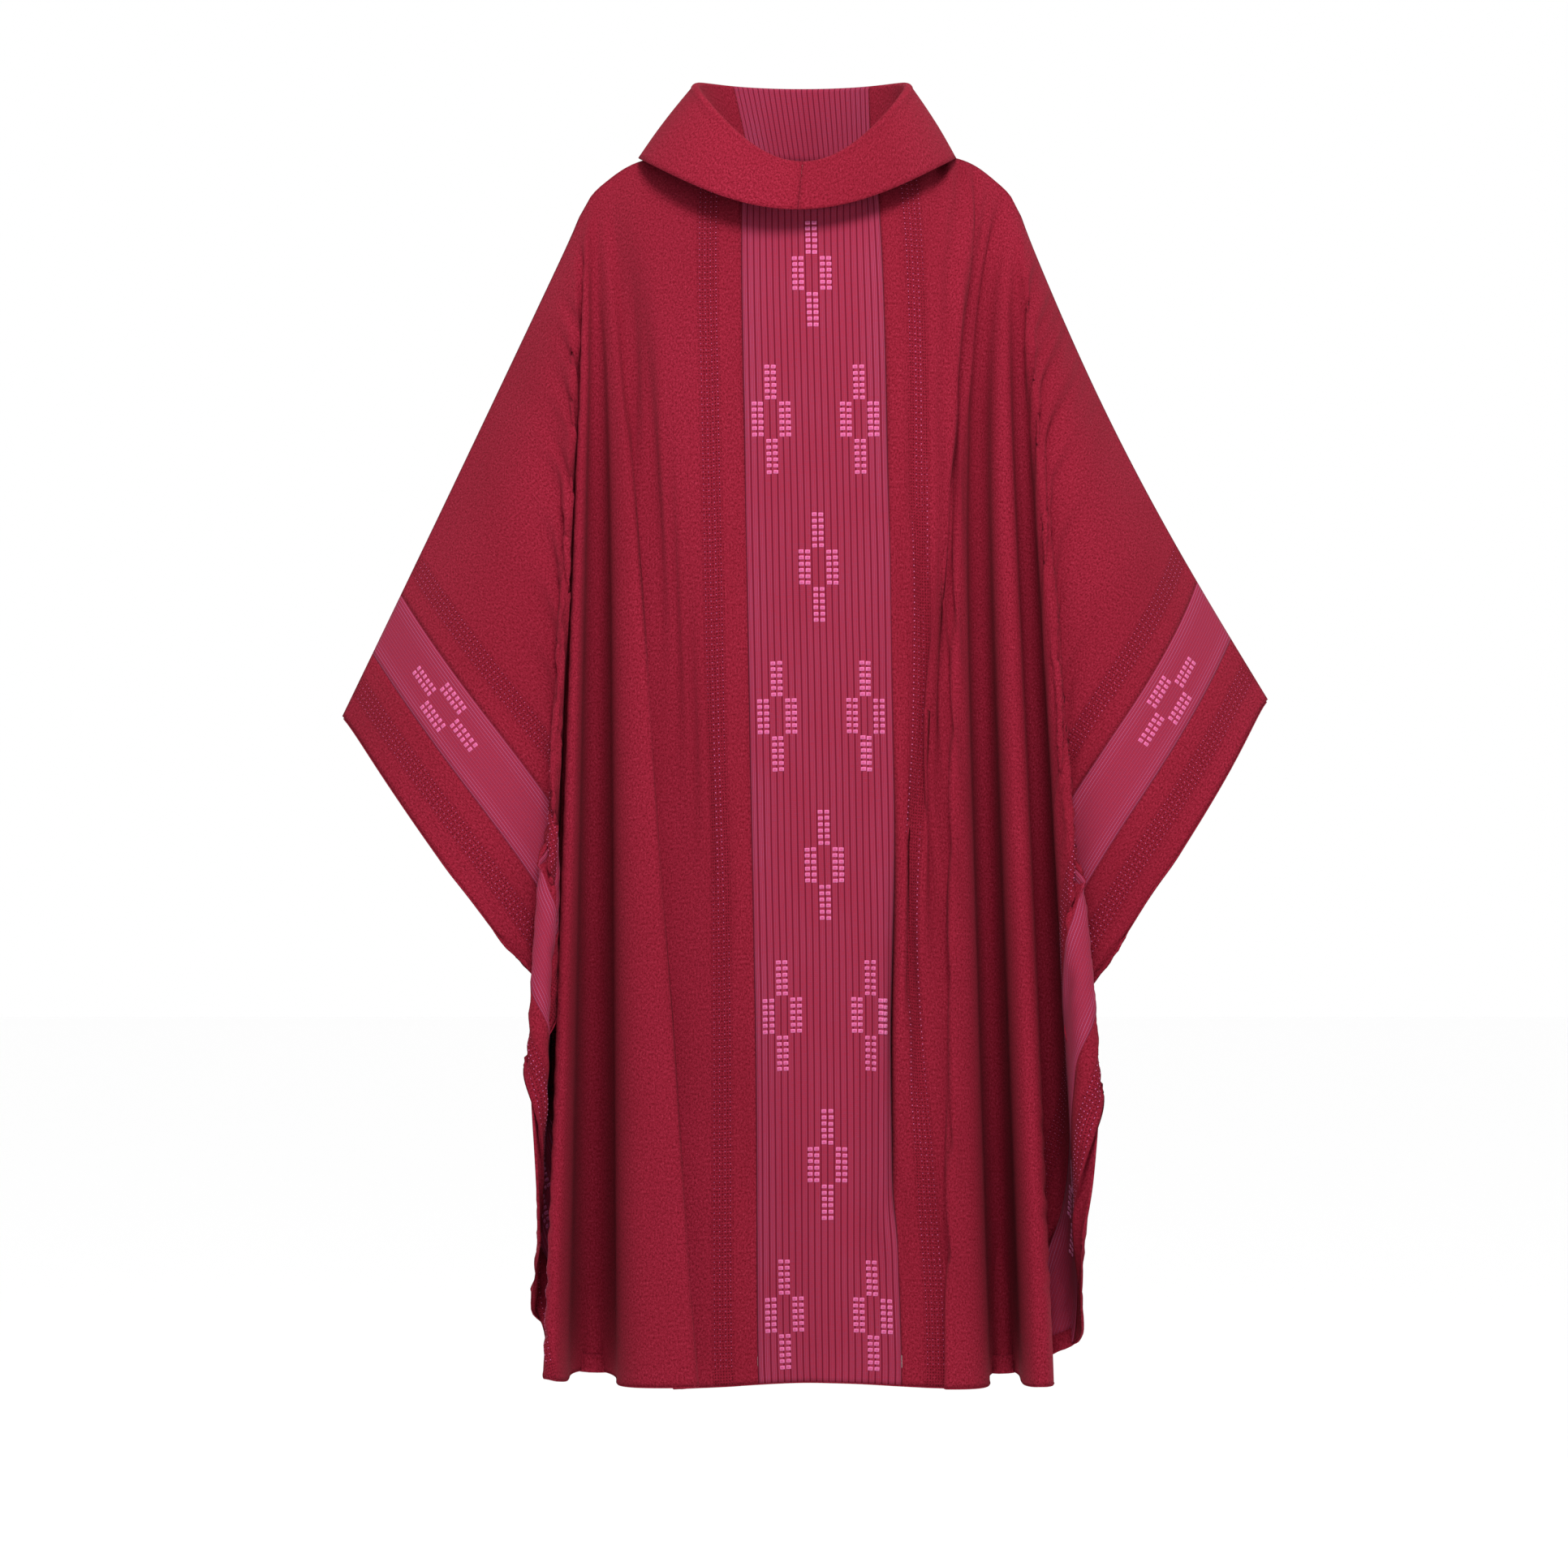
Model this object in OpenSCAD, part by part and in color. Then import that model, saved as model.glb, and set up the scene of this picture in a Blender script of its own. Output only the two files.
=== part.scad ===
// Chasuble: a full, poncho-cut vestment with a roll collar, a woven centre column
// front and back, and a woven band along each wrist edge.
// Every cloth piece is a point (u, v) of the flat cut carried to its worn place by worn().
// u runs sideways from the centre line, v runs down from the top of the shoulder slope.
// Worn frame: X across, Z up, the front faces -Y, the origin is at the middle of the neck
// on the level of the shoulders. All lengths are in millimetres.

/* [Cut of the cloth] */
// Half the width of the cut cloth, from the centre line to the side edge
half_width = 772; // [760:1:785]
// Length of the cut cloth on the centre line
cut_length = 1380; // [1360:1:1400]
// Straight run of the side edge before the rounded corner
side_length = 1080; // [1060:1:1100]
// Slope of the cut shoulder line below level
cut_slope = 27.5; // [27:0.5:28]
// Roundness of the lower corner: 2 is an ellipse, more is squarer
corner_power = 2.4; // [2.2:0.1:2.6]
// Half the width of the neck hole on the shoulder line
neck_half = 100; // [95:1:105]
// Depth of the neck hole at the front, in the cut
neck_front = 120; // [115:1:125]
// Depth of the neck hole at the back, in the cut
neck_back = 82; // [78:1:90]
// Thickness of the wool cloth
cloth = 1.2; // [0.8:0.1:1.6]

/* [Woven bands] */
// Width of the centre column
column_width = 150; // [145:1:155]
// Distance from the side edge to the wrist band
border_width = 65; // [60:1:70]
// Width of the wrist band
band_width = 62; // [58:1:66]
// Width of one block of a motif
block_width = 13; // [11:0.5:15]
// Height of one block of a motif
block_height = 37.5; // [35:0.5:39]
// Distance from a motif's axis to the middle of its side blocks
block_offset = 14.4; // [14:0.1:16]
// Distance between successive rows of motifs on the column
motif_pitch = 153; // [148:1:157]
// Depth of the first motif on the column, in the cut
motif_start = 239; // [230:1:248]
// Half the distance between the two motifs of a pair
pair_half = 46; // [44:1:48]

/* [Worn shape] */
// Distance from the centre to the shoulder corner
shoulder_half = 226; // [220:1:232]
// Height of the shoulder corner below the origin
shoulder_drop = 43; // [38:1:48]
// Slope of the sleeve line below level when worn
sleeve_slope = 63.5; // [63:0.5:64]
// Depth of the front over the chest
chest_depth = 118; // [110:1:125]
// Depth of the back over the shoulder blades
blade_depth = 104; // [98:1:110]

/* [Collar] */
// Half the width of the collar along its fold
fold_half = 120; // [116:1:124]
// Half the width of the collar along its free edge
edge_half = 175; // [170:1:180]
// Height of the fold at the back of the neck
fold_back = 83; // [80:1:86]
// Height of the fold at the front
fold_front = -7; // [-9:1:-5]
// Radius of the rolled fold
fold_radius = 4; // [3.5:0.5:5]

/* [Small fittings] */
// Width of the hanging loop
loop_width = 74; // [72:1:76]
// Drop of the hanging loop
loop_drop = 46; // [44:1:50]
// Width of the hanging loop's tape
loop_tape = 6; // [5:0.5:7]
// Width of the blank label
label_width = 48; // [44:1:50]
// Height of the blank label
label_height = 30; // [26:1:32]

/* [Hidden] */

FRONT = -1;
BACK = 1;
LEFT = -1;
RIGHT = 1;

seam = 0.8;                                  // half the gap left at a seam between two panels
clear = 0.3;                                 // gap between a panel and a piece laid on it
column_half = column_width / 2;
border_edge = half_width - border_width;     // where the wrist border starts, in the cut
band_edge = border_edge - band_width;        // where the wrist band starts, in the cut
corner_drop = shoulder_half * tan(cut_slope);
apex_height = corner_drop - shoulder_drop;   // worn height of the top of the shoulder slope
turn = sleeve_slope - cut_slope;             // how far each wing turns down when worn
sleeve_ray = 90 - cut_slope;                 // the sleeve line as a ray from the shoulder corner

// The folds hang like the pleats of a fan from the shoulder corner. Each row gives a ray of
// the cut (degrees outward from straight down), where it hangs, and how far it stands proud.
FOLDS = [
    [-3.3, -3.3, -0.085],
    [4, -1.9, 0.020],
    [12.5, -0.5, -0.100],
    [23.5, 0.9, 0.030],
    [32, 2.2, -0.100],
    [39.3, 3.3, -0.030],
];
first_fold = FOLDS[0][0];
last_fold = FOLDS[len(FOLDS) - 1][0];
fold_blend = 6;                              // degrees over which the flat front enters the folds
corner_blend = 60;                           // more degrees over which it does so at the shoulder
corner_reach = 110;                          // distance over which that fades
shell_reach = 240;                           // distance over which the cloth leaves the shoulder
drape_gain = 30;                             // length taken up by the curve over the chest
drape_start = 50;                            // depth in the cut where that curve starts
drape_reach = 120;                           // distance over which it is taken up
chest_width = 0.98;                          // worn width of the chest as a part of its cut width
chest_rise = 0.7;                            // how sharply the cloth leaves the shoulder line
shell_rise = 0.8;                            // how sharply the folds leave the shoulder corner
shell_slope = 0.7;                           // steepest slope of the folds at the corner

skirt_spread = 35;                           // how much deeper the skirts hang at the hem
neck_reach_length = 80;                      // distance over which the cloth leaves the shoulder line
round_half = 400;                            // half width of the round that the chest follows
sleeve_depth = 42;                           // depth of a sleeve in front of its seam
sleeve_reach = 40;                           // distance over which the sleeve leaves its seam
hem_width = 18;
hem_thick = 0.5;
hem_turn = 0.75;                             // degrees taken by the hem at the foot of a wrist band
block_gap = 1;                               // gap between two blocks of a motif
float_gap = 0.8;                             // gap between a band and the floats on it
float_height = 0.8;
wrist_motif_start = 487;                     // depth of the first motif on a wrist band, in the cut
tape_half = 3;
tape_drop = 8;                               // gap between the seam and its stay tape
tape_thick = 1;
fold_front_reach = 108;                      // how far the fold stands before and behind the neck
fold_back_reach = 88;
edge_front_reach = 130;                      // how far the free edge stands before and behind it
edge_back_reach = 120;
edge_front = -52;                            // height of the free edge at the front and the back
edge_back = 9;
fold_power = 3.7;                            // how late the fold rises on its way to the back
edge_power = 4;                              // the same for the free edge
layer_gap = 0.9;                             // gap between the collar cloth and its interfacing
canvas_from = 0.1;                           // the interfacing's lower and upper edges, as parts
canvas_to = 0.96;                            // of the way from the neck seam to the fold
canvas_thick = 0.8;
neck_lift = 1.5;                             // height of the neck seam above the cloth's edge
binding_gap = 2.6;
binding_height = 14;
binding_thick = 0.8;
binding_lean = 1;                            // how far the binding's lower edge leans inward

function ease(t) = (1 - cos(180 * min(1, max(0, t)))) / 2;
function lerp(a, b, t) = a + (b - a) * t;

// Edges of the cut
neck_top = neck_half * tan(cut_slope);       // depth of the neck hole's two corners
function hem_v(u) = let (f = min(1, u / half_width))
    cut_length - (cut_length - side_length) * (1 - pow(1 - pow(f, corner_power), 1 / corner_power));
function neck_low(side) = side == FRONT ? neck_front : neck_back;
function neck_v(side, u) =
    neck_top + (neck_low(side) - neck_top) * sqrt(max(0, 1 - pow(u / neck_half, 2)));

// Depth of the worn cloth in front of, or behind, the shoulder line
function body_depth(side, v) =
    (side == FRONT ? chest_depth : blade_depth) + skirt_spread * v / cut_length;
function centre_depth(side, u, v) =
    let (drop = (v - u * tan(cut_slope)) * cos(cut_slope))
    body_depth(side, v) * pow(1 - exp(-max(0, drop) / neck_reach_length), chest_rise)
        * sqrt(1 - pow(u / round_half, 2));

// Fold row that a ray falls in, and the values there
function fold_row(ray, i = 0) =
    i >= len(FOLDS) - 2 || ray < FOLDS[i + 1][0] ? i : fold_row(ray, i + 1);
function fold_value(ray, col) =
    let (i = fold_row(ray), a = FOLDS[i], b = FOLDS[i + 1], t = (ray - a[0]) / (b[0] - a[0]))
    lerp(a[col], b[col], col == 2 ? ease(t) : min(1, max(0, t)));
function hang_angle(ray) =
    ray <= first_fold ? ray : (ray >= last_fold ? ray - turn : fold_value(ray, 1));
function shell(side, r) =
    min(shell_slope * r,
        body_depth(side, corner_drop + r) * pow(1 - exp(-r / shell_reach), shell_rise));
function wing_depth(side, ray, r) =
    let (t = (ray - last_fold) / (sleeve_ray - last_fold), drop = r * sin(sleeve_ray - ray))
    (shell(side, r) + FOLDS[len(FOLDS) - 1][2] * r) * (1 - t)
        + sleeve_depth * (1 - exp(-drop / sleeve_reach)) * t;
function fan_depth(side, ray, r) =
    ray >= last_fold ? wing_depth(side, ray, r)
        : shell(side, r) + fold_value(max(ray, first_fold), 2) * r;

// The two regions of the worn cloth: the front or back of the body, and the fan of folds
function body_point(side, u, v) = [
    u * chest_width,
    side * centre_depth(side, u, v),
    apex_height - v + drape_gain * (1 - exp(-max(0, v - drape_start) / drape_reach))
];
function fan_point(side, ray, r) =
    let (x = r * sin(hang_angle(ray)), y = fan_depth(side, ray, r))
    [shoulder_half + x, side * y, -shoulder_drop - sqrt(max(0, r * r - x * x - y * y))];
function worn(side, u, v) =
    let (du = u - shoulder_half, dv = v - corner_drop, r = norm([du, dv]),
        ray = atan2(du, dv), blend = fold_blend + corner_blend * exp(-r / corner_reach),
        w = ease((ray - first_fold + blend) / blend))
    w <= 0 ? body_point(side, u, v)
        : (w >= 1 ? fan_point(side, ray, r)
            : lerp(body_point(side, u, v), fan_point(side, ray, r), w));

// Outward direction of the worn cloth, and a point standing off it by h.
// The left half of the cloth, where u is below zero, mirrors the right half.
function outward(side, u, v) =
    let (d = 3, a = worn(side, u + d, v) - worn(side, u - d, v),
        b = worn(side, u, v + d) - worn(side, u, v - d), c = cross(a, b))
    side * c / norm(c);
function off(side, p, h) =
    let (u = abs(p[0]), q = worn(side, u, p[1]) + h * outward(side, u, p[1]))
    [p[0] < 0 ? -q[0] : q[0], q[1], q[2]];

// A closed sheet between two grids of points; rows and columns as in the grid
module sheet(top, bottom) {
    rows = len(top);
    cols = len(top[0]);
    n = rows * cols;
    flat = [for (g = [top, bottom]) for (row = g) for (p = row) p];
    edge = concat(
        [for (i = [0 : cols - 1]) i],
        [for (j = [1 : rows - 1]) j * cols + cols - 1],
        [for (i = [cols - 2 : -1 : 0]) (rows - 1) * cols + i],
        [for (j = [rows - 2 : -1 : 1]) j * cols]
    );
    faces = concat(
        [for (j = [0 : rows - 2]) for (i = [0 : cols - 2]) for (k = [0, 1]) let (a = j * cols + i)
            k == 0 ? [a, a + 1, a + cols + 1] : [a, a + cols + 1, a + cols]],
        [for (j = [0 : rows - 2]) for (i = [0 : cols - 2]) for (k = [0, 1]) let (a = n + j * cols + i)
            k == 0 ? [a, a + cols + 1, a + 1] : [a, a + cols, a + cols + 1]],
        [for (i = [0 : len(edge) - 1]) for (k = [0, 1])
            let (a = edge[i], b = edge[(i + 1) % len(edge)])
            k == 0 ? [b, a, a + n] : [b, a + n, b + n]]
    );
    polyhedron(points = flat, faces = faces);
}
// A sheet lying on the worn cloth: its underside stands off by low, its face by high
module laid(side, hand, grid, low, high) {
    face = [for (row = grid) [for (p = row) off(side, p, high)]];
    under = [for (row = grid) [for (p = row) off(side, p, low)]];
    mirror([hand == LEFT ? 1 : 0, 0, 0])
        if (side == FRONT) sheet(face, under);
        else sheet(under, face);
}
module panel(side, hand, grid) laid(side, hand, grid, -cloth, 0);

// Rays of the cut from the shoulder corner, and where they meet its edges
function ray_point(ray, r) = [shoulder_half + r * sin(ray), corner_drop + r * cos(ray)];
function ray_to(u, v) = atan2(u - shoulder_half, v - corner_drop);
function side_reach(ray, u) = (u - shoulder_half) / sin(ray);
function hem_reach(ray, r = 1270, n = 0) =
    n == 8 ? r : hem_reach(ray, (hem_v(shoulder_half + r * sin(ray)) - corner_drop) / cos(ray), n + 1);
function neck_reach(side, ray) =
    let (a = neck_half + neck_gap, b = neck_low(side) - neck_top + neck_gap,
        d = [sin(ray) / a, cos(ray) / b],
        p = [shoulder_half / a, (corner_drop - neck_top) / b], half = p * d, size = d * d)
    (-half - sqrt(max(0, half * half - size * (p * p - 1)))) / size;

// Ground cloth: a fan of rays from the shoulder corner, cut off at the neck, the column,
// the hem and the wrist band. Its rays meet the column and the band at their own rows.
neck_gap = 2;                                // gap between the cloth and the neck seam
inner_u = column_half + seam;
outer_u = band_edge - seam;
shoulder_ray = cut_slope + 90;               // the shoulder line inward to the neck
column_rows = 18;
function column_v(side, u, j) =
    lerp(neck_v(side, u) + neck_gap, hem_v(u) - hem_width, pow(j / column_rows, 1.3));
hem_ray = ray_to(inner_u, hem_v(inner_u));   // the foot of the seam beside the column
corner_ray = ray_to(outer_u, hem_v(outer_u)); // the foot of the seam beside the wrist band
last_ray = sleeve_ray - 0.6;                 // the last row, close beside the sleeve seam
bottom_rays = [for (i = [0 : 17]) lerp(hem_ray, corner_ray, i / 17)];
open_rows = 6;                               // rows of the wing outside the last fold
side_rays = concat([corner_ray],
    [for (i = [0 : 13]) lerp(corner_ray + hem_turn, last_fold + 2, i / 14)],
    [for (i = [0 : open_rows]) lerp(last_fold + 2, last_ray, i / open_rows)]);
function inner_rays(side) = let (first = ray_to(inner_u, column_v(side, inner_u, 0)))
    concat([for (i = [0 : 7]) lerp(0.6 - shoulder_ray, first, i / 8)],
        [for (j = [0 : column_rows]) ray_to(inner_u, column_v(side, inner_u, j))]);
function cloth_rays(side) = concat(inner_rays(side), bottom_rays,
    [for (i = [1 : len(side_rays) - 1]) side_rays[i]]);
function cloth_reach(side, ray) =
    ray < ray_to(inner_u, column_v(side, inner_u, 0)) - 0.01 ? neck_reach(side, ray)
        : (ray < hem_ray ? side_reach(ray, inner_u)
            : (ray > corner_ray ? side_reach(ray, outer_u) : hem_reach(ray)));
hem_ring = 0.985;                            // where the turned-up hem ends on each ray
ring_steps = [0.006, 0.06, 0.14, 0.25, 0.4, 0.55, 0.7, 0.85, hem_ring, 1];
function cloth_grid(side, rings, rays) =
    [for (t = rings) [for (ray = rays) ray_point(ray, t * cloth_reach(side, ray))]];
module cloth_panel(side, hand) panel(side, hand, cloth_grid(side, ring_steps, cloth_rays(side)));

// Centre column, from the neck to the hem, with the hem's upper edge as its last row but one
function column_grid(side) =
    [for (j = [0 : column_rows + 1]) [for (i = [-3 : 3])
        let (u = i * (column_half - seam) / 3)
        [u, j > column_rows ? hem_v(abs(u)) : column_v(side, abs(u), j)]]];

// Wrist band and border: strips along the side edge, in rows that follow the side rays
function strip_grid(u0, u1) =
    [for (k = [len(side_rays) - 1 : -1 : 0]) [for (i = [0 : 3])
        let (u = lerp(u0, u1, i / 3), foot = ray_to(u, hem_v(u)), first = corner_ray + hem_turn,
            ray = k == 0 ? foot : lerp(foot + hem_turn, last_ray,
                (side_rays[k] - first) / (last_ray - first)))
        ray_point(ray, side_reach(ray, u))]];
band_grid = strip_grid(band_edge + seam, border_edge - seam);
border_grid = strip_grid(border_edge + seam, half_width);

// Motifs: four blocks of floats, woven proud of the band. The wrist motif that would lie
// in the bottom of the deep fold is left out.
function motif_blocks(c) = [
    for (k = [[0, -1], [-1, 0], [1, 0], [0, 1]])
        [c[0] + k[0] * block_offset, c[1] + k[1] * (block_height + block_gap)]
];
module motif(side, hand, centre)
    for (c = motif_blocks(centre))
        laid(side, hand,
            [for (j = [-1, 0, 1]) [for (i = [-1, 1])
                c + [i * block_width / 2, j * block_height / 2]]],
            float_gap, float_gap + float_height);
module column_motifs(side)
    for (row = [0 : 7]) let (v = motif_start + row * motif_pitch)
        if (row % 2 == 0) motif(side, RIGHT, [0, v]);
        else for (hand = [LEFT, RIGHT]) motif(side, hand, [pair_half, v]);
wrist_motif_u = (band_edge + border_edge) / 2;
module wrist_motifs(hand)
    for (side = [FRONT, BACK]) for (row = [0, 4])
        motif(side, hand, [wrist_motif_u, wrist_motif_start + row * motif_pitch]);

// Turned-up hem: a strip inside the foot of the cloth and up the open part of the side edges
module turned(side, hand, grid) laid(side, hand, grid, -cloth - clear - hem_thick, -cloth - clear);
function inset(row) = let (n = len(row) - 1)
    [for (i = [0 : n]) i > 0 && i < n ? row[i] : lerp(row[i], row[i == 0 ? 1 : n - 1], 0.1)];
function last_rows(grid) = [inset(grid[len(grid) - 2]), inset(grid[len(grid) - 1])];
function open_side(grid) = [for (j = [0 : open_rows]) [for (i = [2, 3]) grid[j][i]]];
module hem(side) {
    turned(side, RIGHT, last_rows(column_grid(side)));
    for (hand = [LEFT, RIGHT]) {
        turned(side, hand, cloth_grid(side, [hem_ring, 1], bottom_rays));
        turned(side, hand, open_side(border_grid));
    }
}

// Stay tape under the shoulder and sleeve seam
module shoulder_tape(hand) {
    stops = [for (r = [-115, -60, -12, 12, 150, 300, 450, 590])
        r < 0 ? [shoulder_half + r * cos(cut_slope), -shoulder_drop - r * sin(cut_slope)]
            : [shoulder_half + r * cos(sleeve_slope), -shoulder_drop - r * sin(sleeve_slope)]];
    grid = [for (y = [-tape_half, tape_half]) [for (p = stops) [p[0], y, p[1] - tape_drop]]];
    lower = [for (row = grid) [for (p = row) p - [0, 0, tape_thick]]];
    mirror([hand == LEFT ? 1 : 0, 0, 0]) sheet(lower, grid);
}

// Collar: a folded sheet that rises from the neck seam to the fold and falls outside it.
// around is the angle about the neck, 0 at the front and 180 at the back.
function swing(around, power) = 1 - pow(1 - (1 - cos(around)) / 2, power);
function ellipse(around, half, front, back, z) =
    [half * sin(around), cos(around) > 0 ? -front * cos(around) : -back * cos(around), z];
function neck_ring(around) =
    let (side = cos(around) > 0 ? FRONT : BACK, u = neck_half * sin(around),
        p = worn(side, abs(u), neck_v(side, abs(u))))
    [u < 0 ? -p[0] : p[0], p[1], p[2] + neck_lift];
function fold_ring(around) = ellipse(around, fold_half, fold_front_reach, fold_back_reach,
    lerp(fold_front, fold_back, swing(around, fold_power)));
function free_ring(around) = ellipse(around, edge_half, edge_front_reach, edge_back_reach,
    lerp(edge_front, edge_back, swing(around, edge_power)));
function away(around) = [sin(around), -cos(around), 0];
function roll(around, r) = [for (a = [0 : 30 : 180])
    fold_ring(around) + r * (sin(a) * [0, 0, 1] - cos(a) * away(around))];
function folded(around) = concat(
    [neck_ring(around)], roll(around, fold_radius), [free_ring(around)],
    [free_ring(around) - cloth * away(around)],
    [for (i = [6 : -1 : 0]) roll(around, fold_radius - cloth)[i]],
    [neck_ring(around) + cloth * away(around)]
);
// A closed loft through outlines of equal length, capped at both ends
module loft(rings) {
    n = len(rings[0]);
    m = len(rings);
    faces = concat(
        [for (j = [0 : m - 2]) for (i = [0 : n - 1]) for (k = [0, 1])
            let (a = j * n + i, b = j * n + (i + 1) % n)
            k == 0 ? [a, b + n, b] : [a, a + n, b + n]],
        [for (i = [0 : n / 2 - 2]) for (k = [0, 1]) let (a = n - 1 - i)
            k == 0 ? [i, a - 1, a] : [i, i + 1, a - 1]],
        [for (i = [0 : n / 2 - 2]) for (k = [0, 1]) let (e = (m - 1) * n, a = n - 1 - i)
            k == 0 ? [e + i, e + a, e + a - 1] : [e + i, e + a - 1, e + i + 1]]
    );
    polyhedron(points = [for (ring = rings) for (p = ring) p], faces = faces);
}
band_turn = 180 - asin(column_half / fold_half);
half_turns = [for (i = [0 : 20]) lerp(0.25, band_turn - 0.25, i / 20)];
back_turns = [for (i = [0 : 14]) lerp(band_turn, 360 - band_turn, i / 14)];
module collar_half(hand)
    mirror([hand == LEFT ? 1 : 0, 0, 0]) loft([for (a = half_turns) folded(a)]);
module collar_band()
    loft([for (a = back_turns) folded(a)]);
function inner_layer(around) =
    let (top = fold_ring(around) - fold_radius * away(around),
        low = lerp(neck_ring(around), top, canvas_from) + (cloth + layer_gap) * away(around),
        high = lerp(neck_ring(around), top, canvas_to) + (cloth + layer_gap) * away(around),
        thick = canvas_thick * away(around))
    [low, high, high + thick, low + thick];
module interfacing() {
    for (hand = [0, 1]) mirror([hand, 0, 0]) loft([for (a = half_turns) inner_layer(a)]);
    loft([for (a = back_turns) inner_layer(a)]);
}
function binding_ring(around) =
    let (top = neck_ring(around) - binding_gap * away(around),
        low = top - [0, 0, binding_height] - binding_lean * away(around),
        thick = binding_thick * away(around))
    [low, top, top + thick, low + thick];
module binding()
    for (hand = [0, 1]) mirror([hand, 0, 0])
        loft([for (i = [0 : 24]) binding_ring(lerp(0.3, 179.7, i / 24))]);

// Loop and label hang from one straight line inside the back of the neck
hinge_y = 59;
hinge_z = 2;
stitch_y = hinge_y + tape_thick * 0.7;       // the stitches lie behind and above that line
stitch_z = hinge_z + 0.4;
stitch_depth = 1.2;
bartack_height = 2.4;
label_thick = 0.6;
label_seam_height = 1.2;
module loop_outline(w, drop)
    union() {
        translate([-w / 2, -drop + w / 4]) square([w, drop - w / 4]);
        translate([-w / 4, -drop]) square([w / 2, w / 2]);
        for (x = [-w / 4, w / 4]) translate([x, -drop + w / 4]) circle(r = w / 4, $fn = 48);
    }
module loop_body()
    translate([0, hinge_y + tape_thick / 2, hinge_z]) rotate([90, 0, 0])
        linear_extrude(tape_thick) difference() {
            loop_outline(loop_width, loop_drop);
            translate([0, 1]) loop_outline(loop_width - 2 * loop_tape, loop_drop - loop_tape + 1);
        }
module bartacks()
    for (x = [-1, 1] * (loop_width - loop_tape) / 2)
        translate([x - loop_tape / 2, stitch_y, stitch_z])
            cube([loop_tape, stitch_depth, bartack_height]);
module label_body()
    translate([-label_width / 2, hinge_y - label_thick / 2, hinge_z - label_height])
        cube([label_width, label_thick, label_height]);
module label_fold()
    translate([-label_width / 2, stitch_y, stitch_z])
        cube([label_width, stitch_depth, label_seam_height]);

module front_cloth_left() { color("firebrick") cloth_panel(FRONT, LEFT); }
module front_cloth_right() { color("firebrick") cloth_panel(FRONT, RIGHT); }
module back_cloth_left() { color("firebrick") cloth_panel(BACK, LEFT); }
module back_cloth_right() { color("firebrick") cloth_panel(BACK, RIGHT); }
module front_column() { color("palevioletred") panel(FRONT, RIGHT, column_grid(FRONT)); }
module back_column() { color("palevioletred") panel(BACK, RIGHT, column_grid(BACK)); }
module front_wrist_band_left() { color("palevioletred") panel(FRONT, LEFT, band_grid); }
module front_wrist_band_right() { color("palevioletred") panel(FRONT, RIGHT, band_grid); }
module back_wrist_band_left() { color("palevioletred") panel(BACK, LEFT, band_grid); }
module back_wrist_band_right() { color("palevioletred") panel(BACK, RIGHT, band_grid); }
module front_wrist_border_left() { color("brown") panel(FRONT, LEFT, border_grid); }
module front_wrist_border_right() { color("brown") panel(FRONT, RIGHT, border_grid); }
module back_wrist_border_left() { color("brown") panel(BACK, LEFT, border_grid); }
module back_wrist_border_right() { color("brown") panel(BACK, RIGHT, border_grid); }
module front_column_motifs() { color("hotpink") column_motifs(FRONT); }
module back_column_motifs() { color("hotpink") column_motifs(BACK); }
module wrist_motifs_left() { color("hotpink") wrist_motifs(LEFT); }
module wrist_motifs_right() { color("hotpink") wrist_motifs(RIGHT); }
module front_hem() { color("brown") hem(FRONT); }
module back_hem() { color("brown") hem(BACK); }
module shoulder_tape_left() { color("darkred") shoulder_tape(LEFT); }
module shoulder_tape_right() { color("darkred") shoulder_tape(RIGHT); }
module collar_left() { color("firebrick") collar_half(LEFT); }
module collar_right() { color("firebrick") collar_half(RIGHT); }
module collar_back_band() { color("palevioletred") collar_band(); }
module collar_interfacing() { color("linen") interfacing(); }
module neck_binding() { color("darkred") binding(); }
module hanging_loop() { color("darkred") loop_body(); }
module loop_bartacks() { color("crimson") bartacks(); }
module care_label() { color("whitesmoke") label_body(); }
module label_seam() { color("whitesmoke") label_fold(); }

front_cloth_left();
front_cloth_right();
back_cloth_left();
back_cloth_right();
front_column();
back_column();
front_wrist_band_left();
front_wrist_band_right();
back_wrist_band_left();
back_wrist_band_right();
front_wrist_border_left();
front_wrist_border_right();
back_wrist_border_left();
back_wrist_border_right();
front_column_motifs();
back_column_motifs();
wrist_motifs_left();
wrist_motifs_right();
front_hem();
back_hem();
shoulder_tape_left();
shoulder_tape_right();
collar_left();
collar_right();
collar_back_band();
collar_interfacing();
neck_binding();
hanging_loop();
loop_bartacks();
care_label();
label_seam();
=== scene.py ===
"""The looks of a chasuble, in metres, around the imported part.

The cloth is one flat cut for the front and one for the back. A point of a cut is (u, v): u runs
sideways from the centre line, v runs down from the top of the shoulder slope. A closed form lays
the cuts over the wearer, a cloth simulation settles them, and every woven piece is then read off
that one draped surface, so neighbouring pieces meet.
"""

import math

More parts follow.
